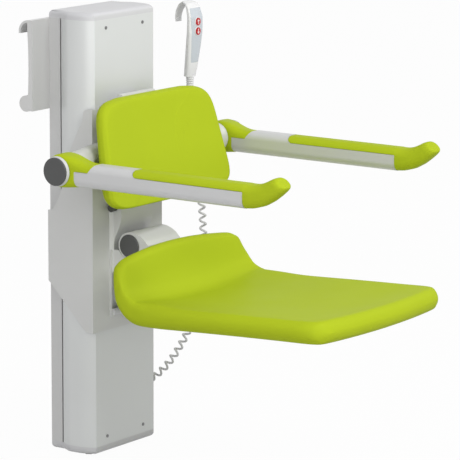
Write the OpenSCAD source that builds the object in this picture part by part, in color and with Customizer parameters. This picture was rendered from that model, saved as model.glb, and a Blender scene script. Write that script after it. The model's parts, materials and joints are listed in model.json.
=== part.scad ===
// Wall-hung shower seat with a height-adjustable carriage, fold-up arms and a hand control.
// Depths run from the back of the column toward the user, heights from its lower end.
// placed() turns depths to face -Y and puts the origin on the line where the wall rail bears.

/* [Column] */
// Height over both end caps
column_h = 940; // [930:5:1100]
// Width of the rear profile
profile_w = 210; // [200:2:220]
// Depth of the rear profile
profile_d = 29; // [27:0.5:30]
// Wall of the rear profile
profile_wall = 4; // [3:0.5:5]
// Step from the profile's side out to the cover's side
shoulder_w = 11; // [10:0.5:14]
// Depth of the open side slot between profile and cover
slot_d = 5; // [4.8:0.2:8]
// Depth of the slanted shoulder from the slot to the cover's side
lip_d = 16; // [12:0.2:18]
// Depth of the front cover from its rear edge to its flat front
cover_d = 67; // [64:1:80]
// Width of each rounded front corner, ending in a crease
corner_w = 15; // [10:1:20]
// Wall of the front cover
cover_wall = 3; // [2:0.5:4]
// Height of each end cap
cap_h = 16; // [12:1:20]
// Rounding of the caps' outer edge
cap_round = 9; // [4:0.5:10]

/* [Wall bracket] */
// Length of the wall bracket
bracket_l = 324; // [280:4:400]
// Height of the wall bracket
bracket_h = 190; // [180:2:220]
// Thickness of its plate
bracket_t = 10; // [8:0.5:11]
// Reach of its hook toward the wall
hook_reach = 35; // [34:0.5:40]
// Diameter of the rod along its lower edge
rod_dia = 24; // [16:1:26]

/* [Carriage] */
// Height of the carriage's lower edge at rest
carriage_z = 267; // [262:1:272]
// Height of the carriage cover
carriage_h = 474; // [470:1:480]
// Wall of the carriage cover
carriage_wall = 3.3; // [2.5:0.1:4]
// Running gap between the column's side and the carriage
side_gap = 1.7; // [1:0.1:3]
// Gap between the column's front and the carriage front
front_gap = 4.7; // [4:0.1:6]
// Travel of the carriage down from rest
travel_down = 210; // [150:5:215]
// Travel of the carriage up from rest
travel_up = 160; // [100:5:170]

/* [Seat] */
// Width of the seat cushion
seat_w = 464; // [440:4:472]
// Length of the flat pan in front of the bend
pan_l = 446; // [400:2:470]
// Thickness of the pan
pan_t = 47; // [40:1:48]
// Rise of the pan toward its front edge, in degrees
pan_rise = 3.5; // [0:0.5:5]
// Length of the upright rim above the bend
rim_l = 60; // [50:1:64]
// Thickness of the rim
rim_t = 34; // [28:1:36]
// Backward lean of the rim, in degrees
rim_lean = 13; // [8:1:15]
// Height of the seat's hinge axis
hinge_z = 450; // [445:1:455]
// Radius of the hinge hub
hub_r = 29; // [28:0.5:30]

/* [Backrest] */
// Mean width of the backrest
back_w = 406; // [360:1:416]
// Height of the backrest
back_h = 222; // [200:1:236]
// Thickness of the backrest cushion
back_t = 34; // [28:1:36]
// Forward curve of its sides
back_curve = 10; // [8:0.5:16]
// Backward lean of the backrest, in degrees
back_lean = 11.8; // [10:0.2:13]

/* [Arms] */
// Distance between the arms' centre lines
arm_spacing = 548; // [520:2:600]
// Width of the arm section
arm_w = 50; // [44:1:52]
// Height of the arm section
arm_t = 49; // [46:1:52]
// Depth at which the grip begins
grip_start = 630; // [560:5:700]
// Height of the arms' pivot axis
pivot_z = 643; // [638:1:648]
// Radius of the arm hub
arm_hub_r = 34.5; // [33.5:0.5:37]

/* [Hand control] */
// Length of the hand control's body below its hook
handset_l = 166; // [150:2:180]
// Width of the hand control
handset_w = 46; // [38:1:48]
// Depth of the hand control's body
handset_d = 18; // [15:0.5:22]
// Diameter of the buttons
button_dia = 16; // [12:0.5:17]
// Travel of a button
button_travel = 1; // [0.6:0.1:1.2]

/* [Cord] */
// Outer diameter of the curls
curl_dia = 18; // [16:1:20]
// Diameter of the cord itself
wire_dia = 5; // [4:0.5:5]
// Number of curls
curls = 38; // [24:1:40]

/* [Hidden] */

// Colours
shell_white = [0.90, 0.90, 0.90];
metal_white = [0.84, 0.84, 0.85];
lime = [0.65, 0.80, 0.10];
cap_grey = [0.28, 0.29, 0.31];
steel = [0.68, 0.69, 0.71];
zinc = [0.76, 0.76, 0.74];
dark_grey = [0.20, 0.20, 0.21];
panel_blue = [0.66, 0.72, 0.76];
button_red = [0.72, 0.10, 0.12];
cord_grey = [0.80, 0.80, 0.81];

// Shared clearances, overrun and facet counts
cut = 1;
fit = 0.3;
slip = 0.05;
round_fn = 96;
small_fn = 40;

// Column, worked out from its driving sizes
profile_half = profile_w / 2;
cover_half = profile_half + shoulder_w;
slot_front = profile_d + slot_d;
cover_rear = slot_front + lip_d;
cover_front = cover_rear + cover_d;
flat_half = cover_half - corner_w;
corner_turn = 60;
corner_steps = 8;
side_bulge = 2;
lip_w = 16;
slant = shoulder_w;
lip_lap = 0.5;
lip_in = profile_half + lip_lap;
block_t = 26;
block_z = cap_h + block_t;
inner_top = column_h - block_z;
rail_r = 7;
rail_x = 72;
rail_d = 17;

// Wall bracket: its top edge, hook and bulb
bracket_drop = 18;
bracket_top = column_h - bracket_drop;
bracket_base = bracket_top - bracket_h;
bulb_r = 17;
bulb_d = -hook_reach + bulb_r;
bulb_drop = 2;
bulb_z = bracket_base + bulb_r - bulb_drop;
hook_wall = 5;
hook_drop = 28;
hook_bend = 24;
waist = 2;
rail_line_d = -(hook_reach + bracket_t + waist - hook_wall) / 2;
rail_line_z = bracket_top - hook_wall;

// Carriage, mount block and slide
carriage_half = cover_half + side_gap + carriage_wall;
carriage_in = carriage_half - carriage_wall;
front_in = cover_front + front_gap;
front_out = front_in + carriage_wall;
carriage_top = carriage_z + carriage_h;
plate_rear = 6.5;
slide_gap = 4;
slide_d = profile_d + slide_gap;
slide_t = 12;
slide_front = slide_d + slide_t;
slide_foot = 34;
slide_head = 6;
slide_low = carriage_z + slide_foot;
slide_high = carriage_top - slide_head;
slide_half = 98;
ear_gap = 0.8;
ear_d = profile_d + ear_gap;
ear_t = slot_d - 2 * ear_gap;
ear_foot = 84;
ear_h = 180;
ear_low = carriage_z + ear_foot;
ear_high = ear_low + ear_h;
bush_r = 9.5;
bearing_half = 12;
bearing_h = 40;
bearing_back = 8;
block_half = 64;
block_waist = 58.5;
block_front_half = 53;
block_lift = 27;
block_low = carriage_z + block_lift;
block_high = carriage_top + block_lift;

// Actuator
act_d = 72;
act_tube_r = 19;
act_rod_r = 10;
act_stand = 40;
act_base = block_z + act_stand;
act_top = 486;
rod_eye_z = 720;
rod_room = 18;
rod_low = act_base + rod_room + travel_down;
eye_flat = 10.5;
lug_t = 6;
pin_r = 5;

// Seat hinge and arm pivots
hinge_d = 173;
pivot_d = 177;
hub_half = 57;
hub_top_r = 60;
hub_reach = 48;
lug_in = 38;
lug_out = 50;
axle_r = 10;
arm_axle_r = 14;
arm_x = arm_spacing / 2;
arm_mid_z = 637;
hub_out = 29;

// Hand control
handset_x = 327;
handset_foot_d = 48;
handset_foot_z = 756;
handset_sway = 14;
button_gap = 21;

// Points of the cord's route, chosen by hand: side, depth and height
CORD_ROUTE = [[327, 49, 722], [327, 50, 700], [326, 56, 640], [324, 70, 560], [322, 84, 480],
    [319, 92, 400], [312, 95, 330], [299, 92, 268], [278, 86, 210], [248, 76, 162],
    [214, 63, 124], [182, 45, 100], [157, 26, 92], [138, 15, 95], [126, 15, 95]];

// Places the whole model: depths face -Y and the wall rail's bearing line is the origin
module placed() {
    translate([0, rail_line_d, -rail_line_z]) mirror([0, 1, 0]) children();
}

// Extrudes a depth and height outline along the side direction
module along_x(x0, x1) {
    translate([x0, 0, 0]) rotate([90, 0, 90]) linear_extrude(x1 - x0) children();
}

// Extrudes a side and height outline along the depth direction
module along_d(d0, d1) {
    translate([0, d1, 0]) rotate([90, 0, 0]) linear_extrude(d1 - d0) children();
}

// Round bar along the side direction
module bar_x(r, x0, x1, d, z) {
    translate([x0, d, z]) rotate([0, 90, 0]) cylinder(r = r, h = x1 - x0, $fn = round_fn);
}

// Round bar along the depth direction
module bar_d(r, d0, d1, x, z) {
    translate([x, d0, z]) rotate([-90, 0, 0]) cylinder(r = r, h = d1 - d0, $fn = small_fn);
}

// Block between two corners
module block(a, b) {
    translate(a) cube(b - a);
}

// Rectangle with round corners, kept as true arcs
module round_rect(w, h, r) {
    square([w, h - 2 * r], center = true);
    square([w - 2 * r, h], center = true);
    for (x = [-1, 1], y = [-1, 1])
        translate([x * (w / 2 - r), y * (h / 2 - r)]) circle(r = r, $fn = small_fn);
}

function vector_sum(list) = [for (v = list) 1] * list;
function middle(ring) = vector_sum(ring) / len(ring);
function ring_area(ring) = let (c = middle(ring), n = len(ring))
    vector_sum([for (i = [0:n - 1]) cross(ring[i] - c, ring[(i + 1) % n] - c)]);
function smooth(t) = let (s = min(1, max(0, t))) s * s * (3 - 2 * s);
function mix(a, b, t) = a + (b - a) * t;

// Closed solid through rings of equally many points, each end closed by a ladder of strips
// between its first and second half
function ladder(base, n, flip) = [for (i = [0:n / 2 - 2]) let (
        a = base + i, b = base + n - 1 - i)
    each (flip ? [[a + 1, a, b], [b - 1, a + 1, b]] : [[a, a + 1, b], [a + 1, b - 1, b]])];
module loft(rings) {
    n = len(rings[0]);
    m = len(rings);
    half = floor(m / 2);
    turn = ring_area(rings[half]) * (middle(rings[m - 1]) - middle(rings[0]));
    sides = [for (i = [0:m - 2], j = [0:n - 1])
        let (a = i * n + j, b = i * n + (j + 1) % n) each [[a, b + n, b], [a, a + n, b + n]]];
    faces = concat(sides, ladder(0, n, false), ladder((m - 1) * n, n, true));
    polyhedron([for (r = rings) each r], turn > 0 ? faces : [for (f = faces) [f[2], f[1], f[0]]]);
}

// Half of the column's plan, from the wall side round to the middle of the front
function plan_half(inset) = concat(
    [[profile_half - inset, inset], [profile_half - inset, profile_d]],
    cover_side(inset));
function cover_side(inset) = [for (i = [0:corner_steps])
    let (t = corner_turn * i / corner_steps,
        bow = side_bulge * sin(180 * i / corner_steps),
        across = (cos(t) - cos(corner_turn)) / (1 - cos(corner_turn)),
        along = sin(t) / sin(corner_turn))
    [mix(flat_half - 0.6 * inset, cover_half - inset, across) + bow,
        mix(cover_rear, cover_front - inset, along)]];
function mirrored(half) = concat(half, [for (i = [len(half) - 1:-1:0]) [-half[i][0], half[i][1]]]);
function column_plan(inset) = mirrored(plan_half(inset));

module column_profile() color(metal_white) {
    hollow = profile_half - profile_wall;
    channel_r = 3.2;
    rib_t = 3;
    difference() {
        translate([0, 0, cap_h]) linear_extrude(column_h - 2 * cap_h) difference() {
            translate([-profile_half, 0]) square([profile_w, profile_d]);
            translate([-hollow, profile_wall])
                square([2 * hollow, profile_d - 2 * profile_wall]);
            translate([-hollow + lip_w, profile_wall])
                square([2 * (hollow - lip_w), profile_d]);
        }
        for (x = [-1, 1], z = [-1, 1])
            bar_d(bolt_r + slip, -cut, profile_wall + cut, x * bolt_x, bolt_mid + z * bolt_dz);
    }
    for (s = [-1, 1]) difference() {
        block([s * hollow - (s > 0 ? 4 * rib_t : 0), profile_wall, cap_h],
            [s * hollow + (s > 0 ? 0 : 4 * rib_t), profile_wall + 3 * rib_t, column_h - cap_h]);
        translate([s * (hollow - 2 * rib_t), profile_wall + 1.5 * rib_t, 0])
            cylinder(r = channel_r, h = column_h, $fn = small_fn);
    }
}

module front_cover() color(metal_white) {
    lip = profile_half + slant * slot_d / (slot_d + lip_d);
    outer = mirrored(concat([[lip_in, slot_front], [lip, slot_front]], cover_side(0)));
    inner = mirrored(concat([[lip_in, slot_front - cut], [lip_in, slot_front]],
        cover_side(cover_wall)));
    screw_r = 2.2;
    difference() {
        translate([0, 0, cap_h]) linear_extrude(column_h - 2 * cap_h) difference() {
            polygon(outer);
            polygon(inner);
        }
        for (x = [-1, 1], z = [screw_z, column_h - screw_z])
            bar_d(screw_r, cover_front - 2 * cover_wall, cover_front + cut, x * screw_x, z);
    }
}

screw_x = 63;
thread_r = 2;
screw_z = 34;
head_r = 3.6;
head_t = 1;
shank_l = 14;
block_in = 0.3;

// Closing block inside one end of the column, which carries the rails and the cover's screws
module end_block(z0) {
    hollow = profile_half - profile_wall - fit;
    pilot_r = 2;
    difference() {
        translate([0, 0, z0]) linear_extrude(block_t) union() {
            translate([-hollow + lip_w, profile_wall + fit])
                square([2 * (hollow - lip_w), cover_rear - profile_wall]);
            intersection() {
                polygon(mirrored(cover_side(cover_wall + block_in)));
                translate([-cover_half, cover_rear + cover_wall + fit])
                    square([2 * cover_half, cover_d]);
            }
            translate([-lip_in + fit, slot_front])
                square([2 * (lip_in - fit), cover_rear - slot_front + 2 * cover_wall]);
        }
        for (s = [-1, 1]) {
            translate([s * rail_x, rail_d, z0 - cut])
                cylinder(r = rail_r + slip, h = block_t + 2 * cut, $fn = round_fn);
            bar_d(pilot_r, cover_front - 3 * shank_l, cover_front, s * screw_x,
                z0 < column_h / 2 ? screw_z : column_h - screw_z);
        }
    }
}

module top_block() color(dark_grey) end_block(inner_top);

module bottom_block() color(dark_grey) difference() {
    end_block(cap_h);
    translate([mains_x, act_d, 0]) cylinder(r = gland_hole, h = block_z + cut, $fn = small_fn);
}

mains_x = -68;
gland_hole = 8;

function cap_ring(inset, z) = [for (p = column_plan(0))
    let (s = [1 - inset / cover_half, 1 - inset / (cover_front / 2)])
    [p[0] * s[0], cover_front / 2 + (p[1] - cover_front / 2) * s[1], z]];

// Moulded end cap whose outer edge is rounded over
module end_cap(rise) {
    steps = 5;
    full = cap_h - cap_round;
    rings = concat([cap_ring(0, 0), cap_ring(0, full)],
        [for (i = [1:steps]) let (t = 90 * i / steps)
            cap_ring(cap_round * (1 - cos(t)), full + cap_round * sin(t))]);
    loft([for (r = rings) [for (p = r) [p[0], p[1], rise > 0 ? p[2] : -p[2]]]]);
}

module top_cap() color(shell_white)
    translate([0, 0, column_h - cap_h]) end_cap(1);

module bottom_cap() color(shell_white) difference() {
    translate([0, 0, cap_h]) end_cap(-1);
    translate([mains_x, act_d, -cut])
        cylinder(r = gland_hole, h = cap_h + 2 * cut, $fn = small_fn);
}

// Screws through the front cover into the end blocks
module cover_screws() color(zinc)
    for (x = [-1, 1], z = [screw_z, column_h - screw_z]) {
        bar_d(thread_r, cover_front - shank_l, cover_front + slip, x * screw_x, z);
        difference() {
            bar_d(head_r, cover_front + slip, cover_front + head_t, x * screw_x, z);
            bar_d(1.2 * head_t, cover_front + 0.4 * head_t, cover_front + 2 * head_t,
                x * screw_x, z);
        }
    }

// Extruded wall bracket: a plate, a hook over the wall rail and a bulb round the lower rod
module bracket_outline() {
    tip = -hook_reach;
    hook_low = bracket_top - hook_drop;
    bend = [tip + hook_bend, bracket_top - hook_bend];
    hollow_bend = hook_bend - hook_wall;
    waist_h = hook_low - bulb_z - bulb_r;
    waist_r = (waist_h * waist_h / 4 + waist * waist) / (2 * waist);
    difference() {
        union() {
            difference() {
                translate([-bracket_t - waist, bracket_base])
                    square([bracket_t + waist, bracket_h]);
                translate([-bracket_t - waist_r, (bulb_z + bulb_r + hook_low) / 2])
                    circle(r = waist_r, $fn = 3 * round_fn);
            }
            intersection() {
                translate(bend) circle(r = hook_bend, $fn = round_fn);
                translate([tip, hook_low]) square([hook_reach, hook_drop]);
            }
            translate([bend[0], hook_low]) square([-bend[0], hook_drop]);
            translate([tip, hook_low]) square([hook_bend, bend[1] - hook_low]);
            translate([bulb_d, bulb_z]) circle(r = bulb_r, $fn = round_fn);
            translate([bulb_d, bulb_z - bulb_r / 2]) square([-bulb_d - bracket_t, bulb_r]);
        }
        intersection() {
            union() {
                translate(bend) circle(r = hollow_bend, $fn = round_fn);
                translate([tip + hook_wall, hook_low - hook_bend])
                    square([hook_reach, bend[1] - hook_low + hook_bend]);
            }
            translate([tip, hook_low - hook_bend])
                square([hook_reach - bracket_t - waist, 2 * hook_bend + hook_drop]);
        }
        translate([bulb_d, bulb_z]) circle(r = rod_dia / 2 + slip, $fn = round_fn);
    }
}

bolt_x = 38;
bolt_dz = 60;
bolt_r = 4;
bolt_head_r = 7;

module wall_bracket() color(metal_white) difference() {
    along_x(-bracket_l / 2, bracket_l / 2) bracket_outline();
    for (x = [-1, 1], z = [-1, 1])
        bar_d(bolt_r + slip, -bracket_t - cut, cut, x * bolt_x, bolt_mid + z * bolt_dz);
}

bolt_mid = (bracket_top - hook_drop + bulb_z + bulb_r) / 2;
bolt_head_t = 4;

module bracket_rod() color(metal_white)
    bar_x(rod_dia / 2, -bracket_l / 2 + slip, bracket_l / 2 - slip, bulb_d, bulb_z);

// Bolts that hold the column's profile on the bracket
module bracket_screws() color(zinc) for (x = [-1, 1], z = [-1, 1]) {
    bar_d(bolt_r, -bracket_t + waist, profile_wall + slip, x * bolt_x, bolt_mid + z * bolt_dz);
    bar_d(bolt_head_r, profile_wall + slip, profile_wall + bolt_head_t, x * bolt_x,
        bolt_mid + z * bolt_dz);
}

module guide_rods() color(steel) for (s = [-1, 1])
    translate([s * rail_x, rail_d, cap_h + slip])
        cylinder(r = rail_r, h = column_h - 2 * cap_h - 2 * slip, $fn = round_fn);

module actuator_tube() color(steel) difference() {
    translate([0, act_d, act_base]) cylinder(r = act_tube_r, h = act_top - act_base, $fn = round_fn);
    translate([0, act_d, act_base + bearing_back])
        cylinder(r = act_rod_r + slip, h = act_top, $fn = round_fn);
}

motor_r = 23;
motor_x = 46;
motor_h = 150;
gear_t = 20;
foot_gap = 13;
foot_t = 6;
foot_pin_rise = 10;
foot_pin_z = block_z + foot_pin_rise;

// Motor beside the tube, on the gear housing that carries both
module actuator_motor() color(dark_grey) {
    translate([motor_x, act_d, act_base]) cylinder(r = motor_r, h = motor_h, $fn = round_fn);
    difference() {
        union() {
            translate([0, act_d, act_base - gear_t])
                cylinder(r = motor_r, h = gear_t, $fn = round_fn);
            block([0, act_d - motor_r, act_base - gear_t], [motor_x, act_d + motor_r, act_base]);
            translate([motor_x, act_d, act_base - gear_t])
                cylinder(r = motor_r, h = gear_t, $fn = round_fn);
            block([-foot_gap + fit, act_d - foot_gap, block_z + 3 * fit],
                [foot_gap - fit, act_d + foot_gap, act_base]);
        }
        bar_x(pin_r + slip, -motor_x, motor_x, act_d, foot_pin_z);
    }
}

module actuator_foot() color(steel) difference() {
    for (s = [0, 1]) block([s > 0 ? foot_gap : -foot_gap - foot_t, act_d - foot_gap, block_z],
        [s > 0 ? foot_gap + foot_t : -foot_gap, act_d + foot_gap, act_base - gear_t - fit]);
    bar_x(pin_r + slip, -motor_x, motor_x, act_d, foot_pin_z);
}

module foot_pin() color(zinc)
    bar_x(pin_r, -foot_gap - foot_t - fit, foot_gap + foot_t + fit, act_d, foot_pin_z);

box_x = 36;
box_w = 62;
box_d = 48;
box_h = 190;
box_lid = 4;

// Control box that stands on the lower block, with a lid and two cable sockets
module control_box() color(dark_grey) {
    front = act_d - box_d / 2 + box_d;
    difference() {
        block([-box_x - box_w, act_d - box_d / 2, block_z + slip],
            [-box_x, front - box_lid, block_z + box_h]);
        for (i = [0, 1])
            translate([-box_x - box_w * (1 + 2 * i) / 4, act_d - box_lid, block_z + box_h - box_lid])
                cylinder(r = 2 * box_lid, h = 2 * box_lid, $fn = small_fn);
    }
    block([-box_x - box_w + box_lid, front - box_lid, block_z + box_lid],
        [-box_x - box_lid, front, block_z + box_h - box_lid]);
}

gland_z = 95;
gland_d = 15;
gland_r = 9;
gland_l = 19;
gland_nut = 4;

// Socket in the side of the profile where the hand control's cord plugs in
module handset_gland() color(dark_grey) difference() {
    union() {
        bar_x(gland_r, profile_half + slip, profile_half + gland_nut, gland_d, gland_z);
        translate([profile_half + gland_nut, gland_d, gland_z]) rotate([0, 90, 0])
            cylinder(r1 = 0.9 * gland_r, r2 = 0.6 * gland_r, h = gland_l - gland_nut, $fn = round_fn);
    }
    bar_x(wire_dia / 2 + fit, profile_half + cut, profile_half + gland_l + cut, gland_d, gland_z);
}

module mains_gland() color(dark_grey) difference() {
    union() {
        translate([mains_x, act_d, -gland_l / 2])
            cylinder(r = gland_hole - fit, h = block_z + gland_l / 2, $fn = round_fn);
        translate([mains_x, act_d, -gland_l / 2])
            cylinder(r = 1.4 * gland_hole, h = gland_l / 2 - slip, $fn = 6);
    }
    translate([mains_x, act_d, -gland_l])
        cylinder(r = gland_hole / 2, h = block_z + 2 * gland_l, $fn = round_fn);
}

// Side outline of the carriage's cheeks, as depth and height
plate_step = 12.5;
plate_low_d = 13;
plate_low_rise = 95;
plate_notch_rise = 252;
plate_notch_drop = 2;
plate_low_z = carriage_z + plate_low_rise;
plate_notch_z = carriage_z + plate_notch_rise;
plate_lean_z = plate_notch_z + plate_notch_drop;
plate_slope_share = [[0.15, 0.115], [0.30, 0.30], [0.455, 0.60], [0.60, 0.75], [0.745, 0.88]];
plate_round = 13;

function arc(c, r, a0, a1, n) = [for (i = [0:n]) let (a = mix(a0, a1, i / n))
    [c[0] + r * cos(a), c[1] + r * sin(a)]];

module plate_outline() {
    lean = [for (s = plate_slope_share)
        [mix(plate_rear + plate_step, front_out, s[0]),
            mix(plate_lean_z, carriage_top, s[1])]];
    polygon(concat(
        [[plate_low_d, plate_low_z], [plate_rear, plate_low_z + plate_low_d - plate_rear],
            [plate_rear, plate_notch_z], [plate_rear + plate_step, plate_lean_z]],
        lean,
        arc([front_out - plate_round, carriage_top - plate_round], plate_round, 140, 100, 4),
        [[front_out, carriage_top], [front_out, carriage_z]],
        arc([front_out - plate_round, carriage_z + plate_round], plate_round, 270, 222, 4)));
}

module carriage_cover() color(shell_white) difference() {
    along_x(-carriage_half, carriage_half) plate_outline();
    block([-carriage_in, -cut, 0], [carriage_in, front_in, column_h]);
    for (p = block_screw_places)
        bar_d(block_screw_r + slip, front_in - cut, front_out + cut, p[0], p[1]);
    block([-pocket_half, front_in - cut, pocket_low], [pocket_half, front_out + cut, pocket_high]);
}

block_screw_r = 3;
block_screw_x = 40;
block_screw_rise = 130;
block_screw_drop = 60;
block_screw_step = 120;
block_screw_rows = [block_low + block_screw_rise,
    block_high - block_screw_drop - block_screw_step, block_high - block_screw_drop];
block_screw_places = [for (x = [-1, 1], z = block_screw_rows) [x * block_screw_x, z]];
pocket_half = 61;
pocket_sill = 3;
pocket_h = 90;
pocket_low = block_low + pocket_sill;
pocket_high = pocket_low + pocket_h;

// Inner slide: a plate with ears out through the side slots and four bearings on the rails
module carriage_slide() color(steel) difference() {
    union() {
        block([-slide_half, slide_d, slide_low], [slide_half, slide_front, slide_high]);
        block([-carriage_in, ear_d, ear_low], [carriage_in, ear_d + ear_t, ear_high]);
        block([-slide_half, ear_d, ear_low], [slide_half, slide_front, ear_high]);
        for (s = [-1, 1], z = [slide_low, slide_high - bearing_h])
            block([s * rail_x - bearing_half, bearing_back, z],
                [s * rail_x + bearing_half, slide_d, z + bearing_h]);
        for (x = [-eye_flat - fit - lug_t, eye_flat + fit])
            block([x, slide_front, rod_eye_z - 2 * pin_r],
                [x + lug_t, act_d + 2 * pin_r, rod_eye_z + 2 * pin_r]);
    }
    for (s = [-1, 1], z = [slide_low, slide_high - bearing_h])
        translate([s * rail_x, rail_d, z - cut])
            cylinder(r = bush_r + slip, h = bearing_h + 2 * cut, $fn = round_fn);
    bar_x(pin_r + slip, -slide_half, slide_half, act_d, rod_eye_z);
}

module glide_bushes() color(dark_grey)
    for (s = [-1, 1], z = [slide_low, slide_high - bearing_h])
        translate([s * rail_x, rail_d, z]) difference() {
            cylinder(r = bush_r, h = bearing_h, $fn = round_fn);
            translate([0, 0, -cut])
                cylinder(r = rail_r + slip, h = bearing_h + 2 * cut, $fn = round_fn);
        }

module actuator_rod() color(zinc) difference() {
    translate([0, act_d, rod_low])
        cylinder(r = act_rod_r, h = rod_eye_z + 2 * pin_r - rod_low, $fn = round_fn);
    bar_x(pin_r + slip, -slide_half, slide_half, act_d, rod_eye_z);
}

module rod_pin() color(zinc)
    bar_x(pin_r, -eye_flat - lug_t - 2 * fit, eye_flat + lug_t + 2 * fit, act_d, rod_eye_z);

// Mount block: its side view, with a hollow above the hinge and a seat under it for the hub
nose_r = 37;
ledge_drop = 12;
waist_out = 7;
ledge_z = hinge_z - ledge_drop;
waist_d = front_out + waist_out;
chin_t = 5;
shelf_d = 151;
shelf_share = [0.08, 0.55];
crown_d = 157;
crown_h = 8;
crown_back = 3;
neck_out = 17;
neck_rise = 4;
neck_foot = 9;
neck_d = front_out + neck_out;
chin_back = 4;
chin_rise = 13;
chin_z = pocket_high + pocket_sill;

module block_outline() difference() {
    low = mix(ledge_z, back_low, shelf_share[0]);
    high = mix(ledge_z, back_low, shelf_share[0] + shelf_share[1]);
    polygon(concat(
        [[front_out, chin_z], [front_out + chin_t, chin_z],
            [hinge_d - chin_back, chin_z + chin_rise], [hinge_d - chin_back, ledge_z],
            [waist_d, ledge_z]],
        [for (i = [0:8]) [mix(waist_d, shelf_d, smooth(i / 8)), mix(low, high, i / 8)]],
        [[crown_d, block_high - crown_h], [crown_d - crown_back, block_high], [neck_d, block_high],
            [neck_d, carriage_top + neck_rise], [front_out, carriage_top - neck_foot]]));
    translate([hinge_d, hinge_z]) circle(r = hub_r + 4 * fit, $fn = round_fn);
}

// Lug that reaches from the block into the hub and carries the hinge axle
module lug_outline() difference() {
    union() {
        translate([hinge_d, hinge_z]) circle(r = 1.8 * axle_r, $fn = round_fn);
        intersection() {
            translate([hinge_d, hinge_z]) circle(r = nose_r, $fn = round_fn);
            polygon([[hinge_d, hinge_z], [hinge_d - 2 * nose_r, hinge_z - nose_r],
                [hinge_d - nose_r, hinge_z - 2 * nose_r], [hinge_d, hinge_z - 2 * axle_r]]);
        }
    }
    translate([hinge_d, hinge_z]) circle(r = axle_r + slip, $fn = round_fn);
}

module block_plan() polygon([[-block_half, front_out], [-block_waist, waist_d],
    [-block_front_half, shelf_d + nose_r], [block_front_half, shelf_d + nose_r],
    [block_waist, waist_d], [block_half, front_out]]);

module mount_block() color(shell_white) difference() {
    union() {
        intersection() {
            along_x(-block_half, block_half) block_outline();
            linear_extrude(column_h) block_plan();
        }
        along_d(front_out, front_out + chin_t) polygon([[-block_half, block_low],
            [block_half, block_low], [block_half, ledge_z], [-block_half, ledge_z]]);
        for (x = [-lug_out, lug_in]) along_x(x, x + lug_out - lug_in) lug_outline();
    }
    block([-pocket_half, front_out - cut, pocket_low],
        [pocket_half, front_out + chin_t + cut, pocket_high]);
    for (p = block_screw_places)
        bar_d(block_screw_r + slip, front_out - cut, front_out + shank_l, p[0], p[1]);
    for (s = [-1, 1]) bar_x(plug_stem_r + slip, s > 0 ? block_front_half - plug_in : -block_half,
        s > 0 ? block_half : plug_in - block_front_half, plug_d, plug_z);
}

plug_r = 8;
plug_stem_r = 6;
plug_sink = 3;
plug_seat = block_half - plug_sink;
plug_d = 136.6;
plug_z = 529;
plug_in = 12;
plug_out = 74;

// Dark plugs that close the cross hole behind the backrest's lower edge
module side_plugs() color(cap_grey) for (s = [-1, 1]) {
    bar_x(plug_r, s > 0 ? plug_seat : -plug_out, s > 0 ? plug_out : -plug_seat, plug_d, plug_z);
    bar_x(plug_stem_r, s > 0 ? block_front_half - plug_in + fit : -plug_seat,
        s > 0 ? plug_seat : plug_in - block_front_half - fit, plug_d, plug_z);
}

module block_screws() color(zinc) for (p = block_screw_places) {
    bar_d(block_screw_r, front_in - fit, front_out + shank_l - fit, p[0], p[1]);
    bar_d(1.6 * block_screw_r, front_in - 0.8 * block_screw_r, front_in - slip, p[0], p[1]);
}

stop_r = 7;
stop_z = pocket_low + stop_r + fit;
stop_out = 6;
stop_d = front_out + stop_out;

// Round bar across the pocket that the seat's bracket bears on
module seat_stop() color(shell_white)
    bar_x(stop_r, -pocket_half + slip, pocket_half - slip, stop_d, stop_z);

axle_back = 2;
module seat_axle() color(zinc)
    bar_x(axle_r, -hub_half + axle_back, hub_half - axle_back, hinge_d, hinge_z);

// Arm carrier: a curved oval bar from the mount block out to the arm's hub
carrier_rise = 32;
carrier_half = 23;
carrier_z = 650;
carrier_share = [[0.00, 0.00], [0.20, 0.04], [0.40, 0.14], [0.60, 0.34], [0.80, 0.68], [0.92, 0.90],
    [1.00, 1.00]];
carrier_root_d = 150;
hub_inner_x = arm_x - arm_w / 2;

module carrier(side) difference() {
    loft([for (s = carrier_share) let (
            x = mix(block_front_half, hub_inner_x - fit, s[0]),
            d = mix(carrier_root_d, pivot_d, s[1]),
            w = mix(carrier_half, carrier_rise, smooth((s[0] - 0.7) / 0.3)),
            turn = 25 * sin(180 * s[0]))
        [for (i = [0:19]) let (a = 18 * i)
            [side * (x - w * cos(a) * sin(turn)), d + w * cos(a) * cos(turn),
                mix(carrier_z, pivot_z, s[0]) + carrier_rise * sin(a)]]]);
    mount_block();
    bar_x(arm_axle_r + slip, -arm_x, arm_x, pivot_d, pivot_z);
}

module carrier_left() color(shell_white) carrier(-1);
module carrier_right() color(shell_white) carrier(1);

arm_axle_in = 25;
module arm_axle(side) {
    near = hub_inner_x - arm_axle_in;
    far = arm_face - fit;
    bar_x(arm_axle_r, side > 0 ? near : -far, side > 0 ? far : -near, pivot_d, pivot_z);
}

hub_cheek = 4;
module arm_axle_left() color(zinc) arm_axle(-1);
module arm_axle_right() color(zinc) arm_axle(1);

// Backrest: shared places of the plate and the cushion
back_z = 659.5;
back_d = 213.3;
back_taper_share = 0.08;
plate_gap = 0.5;
back_plate_t = 4;
back_plate_w = 176;
back_plate_h = 160;
back_screw_x = 74;
back_screw_z = 60;
back_screw_r = 3;

function back_face(x, z) = back_d - (z - back_z) * tan(back_lean)
    + back_curve * (pow(x / (back_w / 2), 2) - 1);

// Places on the backrest, measured from its tilted rear face
module on_backrest(x, z) translate([0, back_face(0, back_z) - back_t / 2 - plate_gap, back_z])
    rotate([back_lean, 0, 0]) translate([x, 0, z]) children();

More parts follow.
